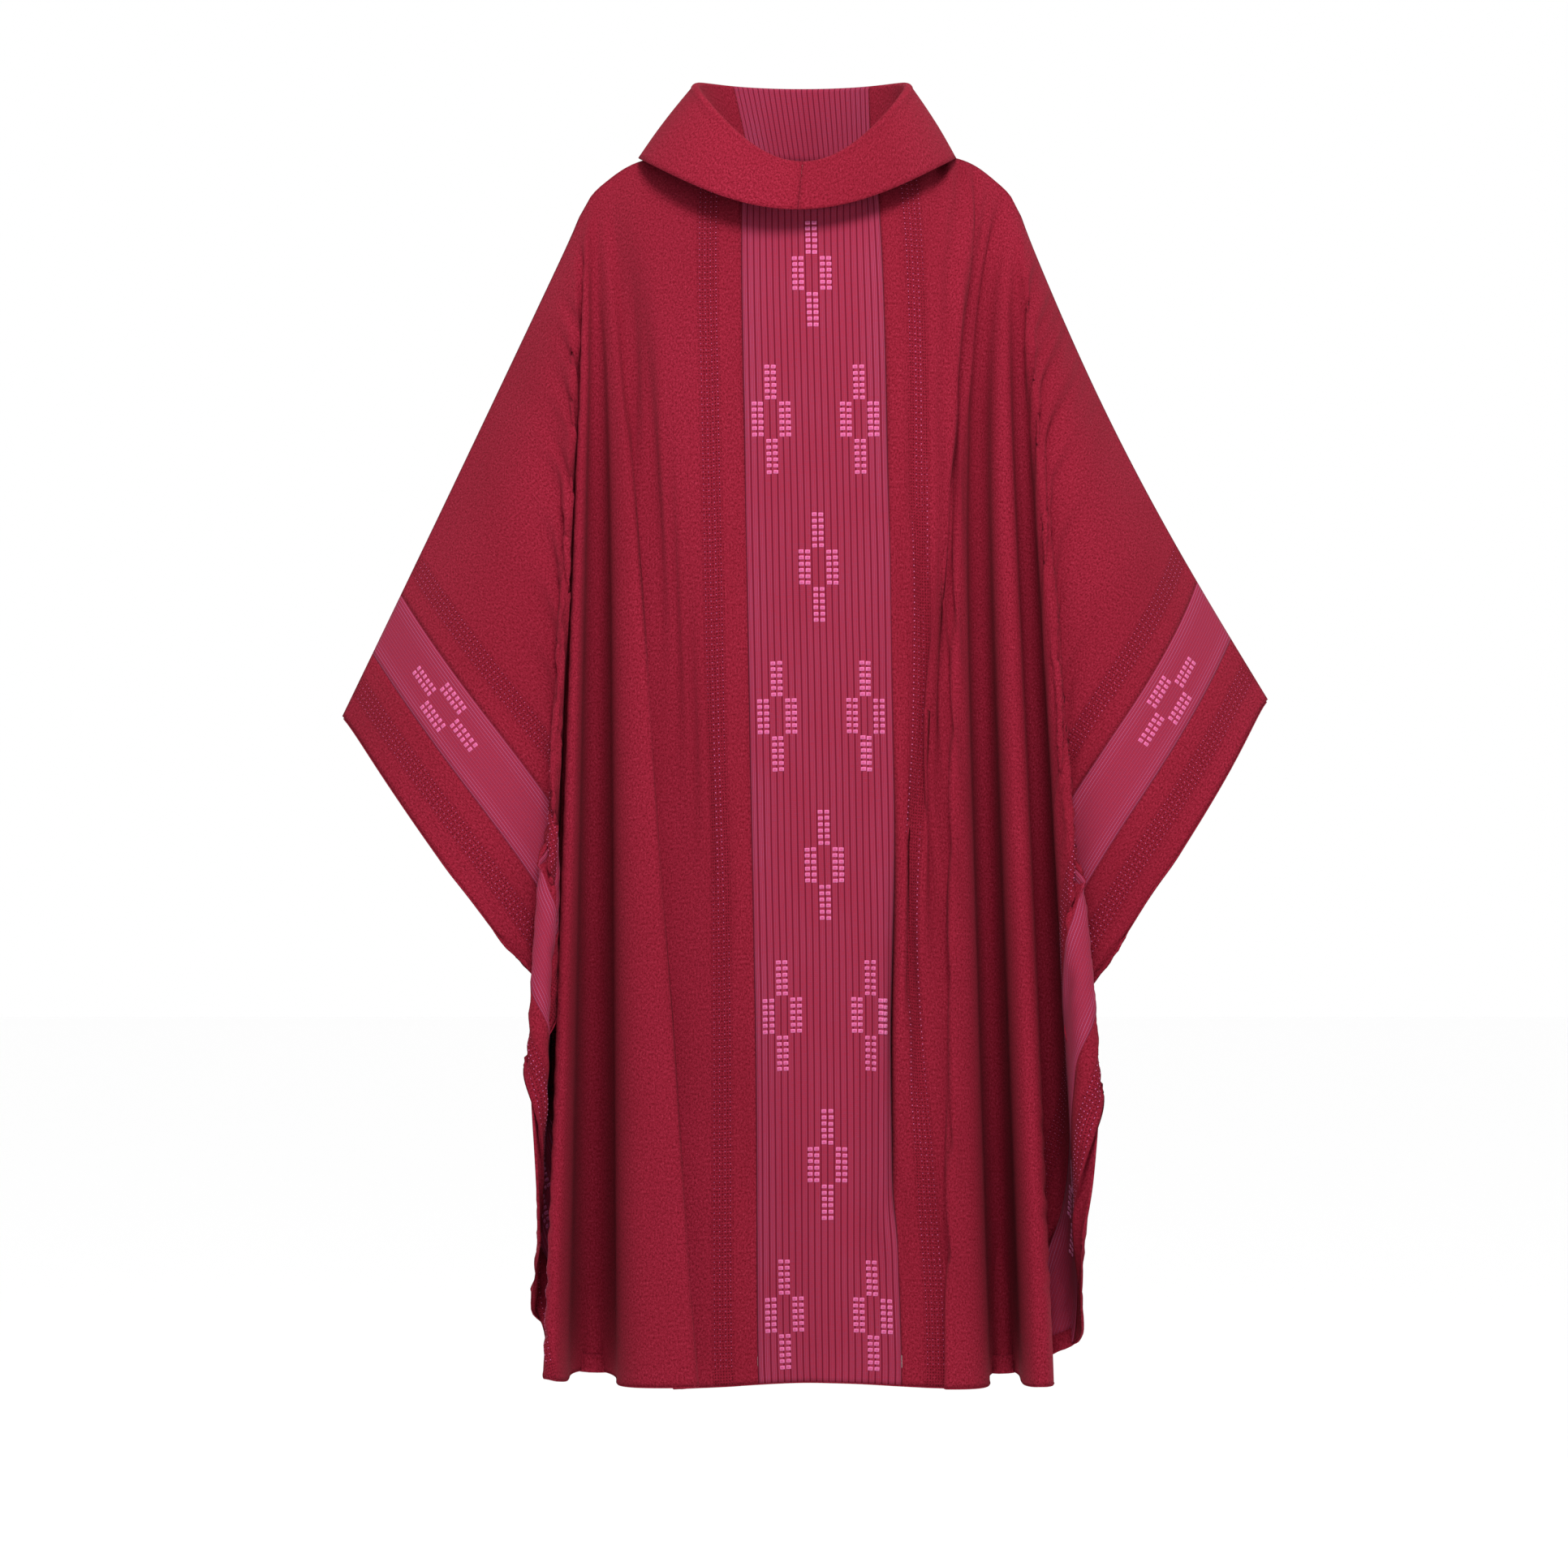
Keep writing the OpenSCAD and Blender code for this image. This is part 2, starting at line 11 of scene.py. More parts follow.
import bpy
import numpy as np
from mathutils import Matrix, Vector


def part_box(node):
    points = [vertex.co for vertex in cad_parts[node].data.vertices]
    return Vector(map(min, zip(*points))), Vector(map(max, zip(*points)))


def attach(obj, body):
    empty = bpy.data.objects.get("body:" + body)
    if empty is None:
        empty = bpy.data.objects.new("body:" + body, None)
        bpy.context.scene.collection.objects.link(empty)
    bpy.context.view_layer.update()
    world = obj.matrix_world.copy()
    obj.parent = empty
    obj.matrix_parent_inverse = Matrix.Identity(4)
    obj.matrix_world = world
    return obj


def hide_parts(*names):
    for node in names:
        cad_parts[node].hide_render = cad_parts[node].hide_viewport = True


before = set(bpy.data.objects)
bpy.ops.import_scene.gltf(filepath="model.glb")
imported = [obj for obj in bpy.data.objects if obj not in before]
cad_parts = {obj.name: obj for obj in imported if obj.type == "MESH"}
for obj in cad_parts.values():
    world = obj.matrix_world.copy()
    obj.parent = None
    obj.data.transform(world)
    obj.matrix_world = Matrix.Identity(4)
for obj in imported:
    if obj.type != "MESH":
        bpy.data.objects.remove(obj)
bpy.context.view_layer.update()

FRONT, BACK = -1, 1
LEFT, RIGHT = -1, 1
SIDE_NAMES = {FRONT: "front", BACK: "back"}
HAND_NAMES = {LEFT: "left", RIGHT: "right"}

# The cut
HALF_WIDTH = 0.772
CUT_LENGTH = 1.38
SIDE_LENGTH = 1.08
CUT_SLOPE = math.radians(27.5)
CORNER_POWER = 2.7
NECK_HALF = 0.100
NECK_DEPTH = {FRONT: 0.120, BACK: 0.082}
COLUMN_HALF = 0.075
BAND_EDGE = 0.645
BORDER_EDGE = 0.707
CLOTH = 0.0012
HEM_WIDTH = 0.018

# The worn shape
CORNER_U = 0.233
SHOULDER_HALF = {LEFT: 0.233, RIGHT: 0.219}
SHOULDER_DROP = 0.043
SHOULDER_ROUND = 0.016
SLEEVE_SLOPE = {LEFT: 64.5, RIGHT: 63.0}
SLEEVE_EASE = {LEFT: 1.0, RIGHT: 0.98}
SLEEVE_BOW = {LEFT: 0.001, RIGHT: 0.017}
BODY_DEPTH = {FRONT: 0.118, BACK: 0.104}
SKIRT_SPREAD = 0.035
SLEEVE_DEPTH = 0.042
LEAN_TOP, LEAN = 0.003, 0.025
CHEST_RUN, DIP_RUN = 0.08, 0.12
TUCK_RUN, FOLD_RUN, SHELL_RUN, OPENING_RUN = 0.12, 0.11, 0.24, 0.04

# The folds hang like the pleats of a fan from each shoulder corner. Each row gives a ray of the
# cut (degrees outward from straight down), how far inward of the corner that line starts, where
# it hangs (degrees outward), and how far it stands proud, as a part of its length.
FOLDS = {
    LEFT: [
        (-6, 0.030, -4.6, -0.020),
        (1.5, 0.035, -0.5, 0.035),
        (9.5, 0.012, 1.0, -0.150),
        (17.5, 0, 2.0, 0.030),
        (24.5, 0, 2.5, -0.120),
        (32, 0, 2.9, 0.030),
        (40, 0, 3.4, -0.015),
        (46, 0, 9.8, 0.0),
    ],
    RIGHT: [
        (-6.5, 0.060, -3.2, -0.005),
        (-2.5, 0.080, 0.7, 0.025),
        (5, 0.066, 1.9, -0.150),
        (13, 0.030, 1.6, 0.025),
        (22, 0.008, 2.2, -0.130),
        (31, 0, 3.7, 0.030),
        (39, 0, 4.0, -0.020),
        (46, 0, 10.5, 0.0),
    ],
}
SLEEVE_RUN = (HALF_WIDTH - CORNER_U) / math.cos(CUT_SLOPE)
FLANK_SWING = 1.9  # radians by which a fold's flank turns, so that it has the length of its cloth

# The woven pattern
MOTIF_START = 0.239
MOTIF_PITCH = 0.153
PAIR_HALF = 0.046
BLOCK_OFFSET = (0.0144, 0.0385)
CELL_PITCH = (0.0068, 0.0064)
CELL_HALF, CELL_HEIGHT = (0.0027, 0.0021), 0.0011
WRIST_MOTIF_START = 0.487
OPENWORK = (COLUMN_HALF + 0.035, BAND_EDGE - 0.032, BORDER_EDGE + 0.032)
OPENWORK_PITCH = (0.0055, 0.0063)
DOT_HALF, DOT_HEIGHT = (0.0005, 0.0006), 0.0006
WARP_PITCH, DARK_WARP_PITCH, WEFT_PITCH = 0.0017, 0.0068, 0.0021
WRIST_WARP_PITCH = 0.0031

# The collar
FOLD_HALF, FOLD_REACH, FOLD_HEIGHT = 0.113, {FRONT: 0.108, BACK: 0.088}, (-0.021, 0.083)
EDGE_HALF, EDGE_REACH, EDGE_HEIGHT = 0.168, {FRONT: 0.132, BACK: 0.120}, (-0.069, 0.006)
FOLD_POWER, EDGE_POWER = 3.7, 4
FOLD_SHIFT, EDGE_SHIFT = -0.006, -0.011
FOLD_RADIUS = 0.004
BAND_TURN = math.pi - math.asin(COLUMN_HALF / FOLD_HALF)
BINDING_WIDTH = 0.014

# The loop
LOOP_Y = 0.059
LOOP_TAPE = 0.006
LOOP_BEND = 0.016

# How far the label's sides and its foot curl inward
LABEL_SIDE_CURL, LABEL_FOOT_CURL = 0.005, 0.004


def ease(t):
    return (1 - np.cos(np.pi * np.clip(t, 0, 1))) / 2


def grown(distance, run):
    """0 at no distance, and nearly 1 from a few times run on."""
    return 1 - np.exp(-distance / run)


def unit(a):
    return a / np.maximum(np.linalg.norm(a, axis=-1, keepdims=True), 1e-9)


# ---------------------------------------------------------------- the draped cloth


def hem_v(u):
    """The cut's lower edge: a flat foot that rises to the sides in round corners."""
    rise = 1 - np.minimum(1, np.abs(u) / HALF_WIDTH) ** CORNER_POWER
    return CUT_LENGTH - (CUT_LENGTH - SIDE_LENGTH) * (1 - rise ** (1 / CORNER_POWER))


def top_v(side, u):
    """The cut's upper edge: the neckline, then the shoulder line."""
    u = np.abs(u)
    corner = NECK_HALF * math.tan(CUT_SLOPE)
    bowl = np.sqrt(np.maximum(0, 1 - (u / NECK_HALF) ** 2))
    return np.where(u < NECK_HALF, corner + (NECK_DEPTH[side] - corner) * bowl, u * math.tan(CUT_SLOPE))


def body_depth(side, v):
    return BODY_DEPTH[side] + SKIRT_SPREAD * v / CUT_LENGTH


def chest(side, hand, u, v):
    """Where the flat front or back hangs, from the shoulders down."""
    drop = np.maximum(0, (v - u * math.tan(CUT_SLOPE)) * math.cos(CUT_SLOPE))
    round_off = np.sqrt(np.maximum(0.05, 1 - (u / 0.4) ** 2))
    depth = body_depth(side, v) * grown(drop, CHEST_RUN) ** 0.7 * round_off
    top = CORNER_U * math.tan(CUT_SLOPE) - SHOULDER_DROP
    curve = 0.03 * grown(np.maximum(0, v - 0.05), DIP_RUN)
    return np.stack([shoulder_x(hand, u), depth, top - v + curve], -1)


def shoulder_x(hand, u):
    """How far out the chest and shoulders hang. One shoulder is held in a little."""
    taken = (CORNER_U - SHOULDER_HALF[hand]) * ease((u - NECK_HALF) / (CORNER_U - NECK_HALF))
    return u * 0.98 - taken


def rounding(u, drop=0.0):
    """How much higher the cloth lies over the round of the shoulder."""
    return SHOULDER_ROUND * np.exp(-(((u - 0.195) / 0.045) ** 2) - drop / 0.06)


def flank():
    """How far across and how deep a point of a fold's flank lies, at 0 to 1 of its length."""
    turn = FLANK_SWING * np.sin(np.pi * np.linspace(0, 1, 401))
    steps = [np.concatenate([[0], np.cumsum(f(turn[1:]) + f(turn[:-1]))]) for f in (np.cos, np.sin)]
    return [s / s[-1] for s in steps]


FLANK_ACROSS, FLANK_DEEP = flank()


def fan(side, hand, ray, r):
    """Where a point of the cut hangs that is r from the shoulder corner, along that ray."""
    rays, start, hang, proud = np.array(FOLDS[hand]).T
    i = np.clip(np.searchsorted(rays, ray, side="right") - 1, 0, len(rays) - 2)
    t = np.clip((ray - rays[i]) / (rays[i + 1] - rays[i]), 0, 1)
    stations = np.linspace(0, 1, len(FLANK_ACROSS))
    across = np.interp(t, stations, FLANK_ACROSS)
    deep = np.interp(t, stations, FLANK_DEEP)
    last = i == len(rays) - 2  # the cloth between the last fold and the wing lies smooth
    across, deep = np.where(last, t, across), np.where(last, t, deep)
    line = lambda k: r * np.sin(np.radians(hang[k])) - start[k] * grown(r, TUCK_RUN)
    x = line(i) + (line(i + 1) - line(i)) * across
    before = np.minimum(0, r * (np.sin(np.radians(ray)) - math.sin(math.radians(rays[0]))))
    x = x + before
    corner_v = CORNER_U * math.tan(CUT_SLOPE)
    shell = np.minimum(0.7 * r, body_depth(side, corner_v + r) * grown(r, SHELL_RUN) ** 0.8)
    stand = proud[i] + (proud[i + 1] - proud[i]) * deep
    y = shell + r * stand * grown((r / FOLD_RUN) ** 2, 1)
    # The wing, from the last fold to the sleeve line
    sleeve_ray = 90 - math.degrees(CUT_SLOPE)
    turned = sleeve_ray - (SLEEVE_SLOPE[hand] - math.degrees(CUT_SLOPE))
    w = np.clip((ray - rays[-1]) / (sleeve_ray - rays[-1]), 0, 1)
    drop = np.maximum(0, r * np.sin(np.radians(sleeve_ray - ray)))
    wing_x = r * np.sin(np.radians(hang[-1] + (turned - hang[-1]) * w**0.85))
    wing_x -= SLEEVE_BOW[hand] * w * np.sin(np.pi * np.clip(r / SLEEVE_RUN, 0, 1))
    wing_y = (shell + proud[-1] * r) * (1 - w) + SLEEVE_DEPTH * grown(drop, OPENING_RUN) * w
    x = np.where(ray >= rays[-1], wing_x, x)
    y = np.where(ray >= rays[-1], wing_y, y)
    z = -SHOULDER_DROP - np.sqrt(np.maximum(0, r * r - x * x - y * y))
    return np.stack([SHOULDER_HALF[hand] + x, y, z], -1)


def laid_over(side, u, v):
    """The cut's points u, v laid over the wearer, as the start of the drape."""
    out = np.zeros(u.shape + (3,))
    for hand in (LEFT, RIGHT):
        mine = (u < 0) if hand == LEFT else (u >= 0)
        a, b = np.abs(u[mine]), v[mine]
        du, dv = a - CORNER_U, b - CORNER_U * math.tan(CUT_SLOPE)
        r, ray = np.hypot(du, dv), np.degrees(np.arctan2(du, dv))
        r = r * (1 - (1 - SLEEVE_EASE[hand]) * ease((ray - 40) / 20))
        reach = 6 + 60 * np.exp(-r / 0.11)
        share = ease((ray - FOLDS[hand][0][0] + reach) / reach)[:, None]
        p = chest(side, hand, a, b) * (1 - share) + fan(side, hand, ray, r) * share
        p[:, 2] += rounding(a, np.maximum(0, (b - a * math.tan(CUT_SLOPE)) * math.cos(CUT_SLOPE)))
        out[mine] = p * (hand, side, 1)
    lean = LEAN_TOP + LEAN * np.clip(-out[..., 2] / 1.3, 0, 1)
    out[..., 0] += lean * np.exp(-((out[..., 0] / 0.25) ** 2))
    return out


def shoulder_line(u):
    """The shoulder and sleeve seam, which stays where the wearer holds it."""
    hand = RIGHT if u >= 0 else LEFT
    a, corner = abs(u), SHOULDER_HALF[hand]
    past = a - CORNER_U
    if past < 0:
        return hand * shoulder_x(hand, a), 0, -past * math.tan(CUT_SLOPE) - SHOULDER_DROP + rounding(a)
    slope, run = math.radians(SLEEVE_SLOPE[hand]), past / math.cos(CUT_SLOPE)
    start = corner - 0.02 * CORNER_U * max(0, 1 - past / 0.02)
    bow = SLEEVE_BOW[hand] * math.sin(math.pi * min(1, run / SLEEVE_RUN))
    run *= SLEEVE_EASE[hand]
    x = start + run * math.cos(slope) - bow
    return hand * x, 0, -SHOULDER_DROP - run * math.sin(slope) + rounding(a)


def half_columns():
    """The grid's columns, in u: they meet the neck, the centre column and the wrist band."""
    return np.concatenate([
        np.arange(0, 5) * 0.015,
        [COLUMN_HALF, 0.085, 0.094, NECK_HALF, 0.110],
        np.linspace(0.120, BAND_EDGE, 60),
        np.linspace(BAND_EDGE, BORDER_EDGE, 5)[1:],
        np.linspace(BORDER_EDGE, HALF_WIDTH, 5)[1:],
    ])


HALF = half_columns()
COLUMNS = np.concatenate([-HALF[:0:-1], HALF])
ROWS = 84


def cut_grid(side):
    """The cut's points on the grid, column by column."""
    top, foot = top_v(side, COLUMNS), hem_v(COLUMNS)
    v = top[:, None] + (foot - top)[:, None] * np.linspace(0, 1, ROWS + 1)
    return np.repeat(COLUMNS[:, None], ROWS + 1, 1), v


def quads_of(index, flip):
    q = np.stack([index[:-1, :-1], index[1:, :-1], index[1:, 1:], index[:-1, 1:]], -1).reshape(-1, 4)
    return q[:, ::-1] if flip else q


def torso():
    """What the cloth rests on while it settles: level ellipses of (height, half width, half depth)."""
    rings = [
        (-1.45, 0.110, 0.075), (-1.00, 0.120, 0.085), (-0.75, 0.130, 0.095), (-0.50, 0.140, 0.100),
        (-0.30, 0.155, 0.105), (-0.18, 0.175, 0.098), (-0.10, 0.185, 0.080), (-0.065, 0.160, 0.065),
        (-0.04, 0.120, 0.055), (-0.01, 0.075, 0.050), (0.03, 0.058, 0.050), (0.10, 0.055, 0.050),
    ]
    sides = 40
    around = np.linspace(0, 2 * np.pi, sides, endpoint=False)
    points = np.array([[(w * np.cos(a), d * np.sin(a), z) for a in around] for z, w, d in rings])
    index = np.arange(len(rings) * sides).reshape(len(rings), sides)
    index = np.concatenate([index, index[:, :1]], 1)
    mesh = bpy.data.meshes.new("torso")
    mesh.from_pydata(points.reshape(-1, 3).tolist(), [], quads_of(index, True).tolist())
    ob = bpy.data.objects.new("torso", mesh)
    bpy.context.scene.collection.objects.link(ob)
    ob.modifiers.new("collision", "COLLISION")
    ob.collision.thickness_outer = 0.004
    ob.collision.thickness_inner = 0.03
    ob.collision.cloth_friction = 5
    ob.collision.damping = 0.2
    return ob


def settle(points, flat, faces, held):
    """Lets the cloth settle from points, towards its flat cut's true lengths. held stay where they
    are, and the rest are drawn towards where they start."""
    body = torso()
    mesh = bpy.data.meshes.new("settling")
    mesh.from_pydata(points.tolist(), [], faces.tolist())
    ob = bpy.data.objects.new("settling", mesh)
    bpy.context.scene.collection.objects.link(ob)
    ob.shape_key_add(name="Basis")
    rest = ob.shape_key_add(name="flat")
    rest.value = 0
    rest.data.foreach_set("co", flat.astype(np.float32).ravel())
    pins = ob.vertex_groups.new(name="pins")
    pins.add(list(range(len(points))), 0.6, "REPLACE")
    pins.add([int(i) for i in held], 1.0, "REPLACE")
    first = ob.modifiers.new("first", "EDGE_SPLIT")  # the rest shape is used only after a modifier
    first.use_edge_angle = False
    first.use_edge_sharp = False
    cloth = ob.modifiers.new("cloth", "CLOTH")
    s = cloth.settings
    s.quality = 6
    s.mass = 0.1
    s.air_damping = 8
    s.tension_stiffness = s.compression_stiffness = 40
    s.shear_stiffness = 5
    s.bending_model = "ANGULAR"
    s.bending_stiffness = 0.5
    s.tension_damping = s.compression_damping = s.shear_damping = 20
    s.bending_damping = 2
    s.vertex_group_mass = "pins"
    s.pin_stiffness = 1
    s.rest_shape_key = rest
    cloth.collision_settings.distance_min = 0.004
    frames = 14
    cloth.point_cache.frame_start, cloth.point_cache.frame_end = 1, frames
    for f in range(1, frames + 1):
        bpy.context.scene.frame_set(f)
    settled = ob.evaluated_get(bpy.context.evaluated_depsgraph_get()).data
    co = np.zeros(len(points) * 3)
    settled.vertices.foreach_get("co", co)
    bpy.context.scene.frame_set(1)
    for o in (ob, body):
        bpy.data.objects.remove(o)
    return co.reshape(-1, 3)


def cubic_weights(t):
    return (
        (-t + 2 * t**2 - t**3) / 2,
        (2 - 5 * t**2 + 3 * t**3) / 2,
        (t + 4 * t**2 - 3 * t**3) / 2,
        (-(t**2) + t**3) / 2,
    )


class Draped:
    """The draped front or back, read at any point of its cut by smooth interpolation."""

    def __init__(self, side, points):
        self.side = side
        self.tops, self.feet = top_v(side, COLUMNS), hem_v(COLUMNS)
        for axis in (0, 1):
            p = np.moveaxis(points, axis, 0)
            p = np.concatenate([2 * p[:1] - p[1:2], p, 2 * p[-1:] - p[-2:-1]])
            points = np.moveaxis(p, 0, axis)
        self.points = points

    def top(self, u):
        return np.interp(u, COLUMNS, self.tops)

    def foot(self, u):
        return np.interp(u, COLUMNS, self.feet)

    def at(self, u, v):
        i = np.interp(u, COLUMNS, np.arange(len(COLUMNS)))
        j = np.clip((v - self.top(u)) / (self.foot(u) - self.top(u)), 0, 1) * ROWS
        i0 = np.clip(np.floor(i), 0, len(COLUMNS) - 2).astype(int)
        j0 = np.clip(np.floor(j), 0, ROWS - 1).astype(int)
        out = 0
        for a, wa in enumerate(cubic_weights(i - i0)):
            for b, wb in enumerate(cubic_weights(j - j0)):
                out = out + (wa * wb)[..., None] * self.points[i0 + a, j0 + b]
        return out

    def axes(self, u, v, step=0.002):
        """Unit directions across, down and outward from the cloth."""
        across = unit(self.at(u + step, v) - self.at(u - step, v))
        down = self.at(u, v + step) - self.at(u, v - step)
        outward = unit(np.cross(across, down)) * self.side
        return across, np.cross(outward, across), outward

    def off(self, u, v, height):
        return self.at(u, v) + height * self.axes(u, v)[2]


def drape():
    grids = {side: cut_grid(side) for side in (FRONT, BACK)}
    shape = grids[FRONT][0].shape
    index = {FRONT: np.arange(shape[0] * shape[1]).reshape(shape)}
    index[BACK] = index[FRONT] + index[FRONT].size
    on_line = np.abs(COLUMNS) >= NECK_HALF
    index[BACK][on_line, 0] = index[FRONT][on_line, 0]
    points = np.concatenate([laid_over(side, *grids[side]).reshape(-1, 3) for side in (FRONT, BACK)])
    for i in np.flatnonzero(on_line):
        points[index[FRONT][i, 0]] = shoulder_line(COLUMNS[i])
    flat = np.concatenate([
        np.stack([u, 0 * u, -v], -1).reshape(-1, 3) for u, v in grids.values()
    ])
    faces = np.concatenate([quads_of(index[side], side == FRONT) for side in (FRONT, BACK)])
    held = np.concatenate([index[FRONT][:, 0], index[BACK][:, 0]])
    used, packed = np.unique(faces, return_inverse=True)
    held = np.flatnonzero(np.isin(used, held))
    points[used] = settle(points[used], flat[used], packed.reshape(-1, 4), held)
    return {side: Draped(side, points[index[side]]) for side in (FRONT, BACK)}


# ---------------------------------------------------------------- materials


class Shade:
    """A material's nodes. Places come from the UV map "cut", in metres of the cut."""

    def __init__(self, name, roughness, specular=0.15, sheen=0.0, sheen_tint=(1, 1, 1)):
        self.material = bpy.data.materials.new(name)
        self.material.use_nodes = True
        self.nodes, self.links = self.material.node_tree.nodes, self.material.node_tree.links
        self.shader = self.nodes["Principled BSDF"]
        self.shader.inputs["Roughness"].default_value = roughness
        self.shader.inputs["Specular IOR Level"].default_value = specular
        self.shader.inputs["Sheen Weight"].default_value = sheen
        self.shader.inputs["Sheen Roughness"].default_value = 0.4
        self.shader.inputs["Sheen Tint"].default_value = (*sheen_tint, 1)
        uv = self.nodes.new("ShaderNodeUVMap")
        uv.uv_map = "cut"
        split = self.nodes.new("ShaderNodeSeparateXYZ")
        self.links.new(uv.outputs["UV"], split.inputs[0])
        self.place, self.u, self.v = uv.outputs["UV"], split.outputs["X"], split.outputs["Y"]

    def feed(self, socket, value):
        if isinstance(value, bpy.types.NodeSocket):
            self.links.new(value, socket)
        else:
            socket.default_value = value

    def math(self, operation, a, b=0.0, c=0.0):
        node = self.nodes.new("ShaderNodeMath")
        node.operation = operation
        for socket, value in zip(node.inputs, (a, b, c)):
            self.feed(socket, value)
        return node.outputs[0]

    def ramp(self, value, start, end, low=0.0, high=1.0):
        """value carried smoothly from start..end to low..high."""
        node = self.nodes.new("ShaderNodeMapRange")
        node.interpolation_type = "SMOOTHSTEP"
        for socket, x in zip(node.inputs, (value, start, end, low, high)):
            self.feed(socket, x)
        return node.outputs[0]

    def noise(self, scale, stretch=(1, 1), detail=2, rough=0.5):
        """Noise over the cut, scale per metre, stretched sideways or downwards."""
        scaled = self.nodes.new("ShaderNodeVectorMath")
        scaled.operation = "MULTIPLY"
        self.links.new(self.place, scaled.inputs[0])
        scaled.inputs[1].default_value = (1 / stretch[0], 1 / stretch[1], 1)
        node = self.nodes.new("ShaderNodeTexNoise")
        self.links.new(scaled.outputs[0], node.inputs["Vector"])
        node.inputs["Scale"].default_value = scale
        node.inputs["Detail"].default_value = detail
        node.inputs["Roughness"].default_value = rough
        return node.outputs["Fac"]

    def from_line(self, x, pitch, shift=0.0):
        """Distance from the nearest of the lines at shift + n * pitch."""
        turns = self.math("FRACT", self.math("DIVIDE", self.math("ADD", x, 50 * pitch - shift), pitch))
        return self.math("MULTIPLY", self.math("PINGPONG", turns, 0.5), pitch)

    def lines(self, x, pitch, width, shift=0.0):
        """1 on lines of that width, 0 between them."""
        soft = width * 0.3
        return self.ramp(self.from_line(x, pitch, shift), width / 2 - soft, width / 2 + soft, 1, 0)

    def mix(self, share, a, b):
        node = self.nodes.new("ShaderNodeMix")
        node.data_type = "RGBA"
        self.feed(node.inputs["Factor"], share)
        for socket, value in ((node.inputs["A"], a), (node.inputs["B"], b)):
            self.feed(socket, (*value, 1) if isinstance(value, tuple) else value)
        return node.outputs["Result"]

    def finish(self, colour, height, depth):
        self.links.new(colour, self.shader.inputs["Base Color"])
        bump = self.nodes.new("ShaderNodeBump")
        bump.inputs["Distance"].default_value = depth
        bump.inputs["Strength"].default_value = 1
        self.links.new(height, bump.inputs["Height"])
        self.links.new(bump.outputs[0], self.shader.inputs["Normal"])
        return self.material


WOOL_DARK, WOOL, WOOL_LIGHT = (0.105, 0.0035, 0.009), (0.212, 0.0105, 0.026), (0.34, 0.034, 0.062)
COLUMN_GROUND = (0.165, 0.013, 0.036)
PALE = (0.33, 0.090, 0.190)
DEEP_LINE = (0.085, 0.003, 0.012)


def heather(shade):
    """The wool's colour: flecked yarn, and a slow unevenness of the dye. Returns colour and height."""
    fleck = shade.noise(560, (1, 1.5), detail=4, rough=0.8)
    slow = shade.noise(9, (1, 2.5), detail=3)
    colour = shade.mix(shade.ramp(fleck, 0.36, 0.56), WOOL_DARK, WOOL)
    colour = shade.mix(shade.ramp(fleck, 0.54, 0.72, 0, 0.8), colour, WOOL_LIGHT)
    colour = shade.mix(shade.ramp(slow, 0.35, 0.70, 0, 0.22), colour, WOOL_DARK)
    twill = shade.lines(shade.math("ADD", shade.u, shade.v), 0.0016, 0.0008)
    height = shade.math("MULTIPLY_ADD", fleck, 1.5, shade.math("MULTIPLY", twill, 0.5))
    return colour, height


def wool(name, openwork):
    shade = Shade(name, 0.95, 0.04, sheen=0.03, sheen_tint=(1, 0.3, 0.35))
    colour, height = heather(shade)
    if openwork:
        out = shade.math("ABSOLUTE", shade.u)
        away = [shade.math("ABSOLUTE", shade.math("SUBTRACT", out, c)) for c in OPENWORK]
        nearest = shade.math("MINIMUM", away[0], shade.math("MINIMUM", away[1], away[2]))
        strip = shade.ramp(nearest, 0.0095, 0.0125, 1, 0)
        # Painted shade: the openwork strips are darkened in fine flecks, for the shade round and through
        # their holes.
        fringe_shade = shade.math("MULTIPLY", strip, shade.ramp(shade.noise(900), 0.42, 0.60))
        colour = shade.mix(shade.math("MULTIPLY", fringe_shade, 0.30), colour, WOOL_DARK)
        # The openwork holes are painted near black, which is painted shade seen through them, and are also
        # pressed in as bumps.
        shaded_hole = shade.math("MULTIPLY", shade.lines(nearest, OPENWORK_PITCH[0] / 2, 0.0011),
                          shade.lines(shade.v, OPENWORK_PITCH[1] / 2, 0.0013, 0.0010))
        shaded_hole = shade.math("MULTIPLY", shaded_hole, strip)
        colour = shade.mix(shade.math("MULTIPLY", shaded_hole, 0.8), colour, (0.05, 0.002, 0.005))
        height = shade.math("SUBTRACT", height, shaded_hole)
    return shade.finish(colour, height, 0.0004)


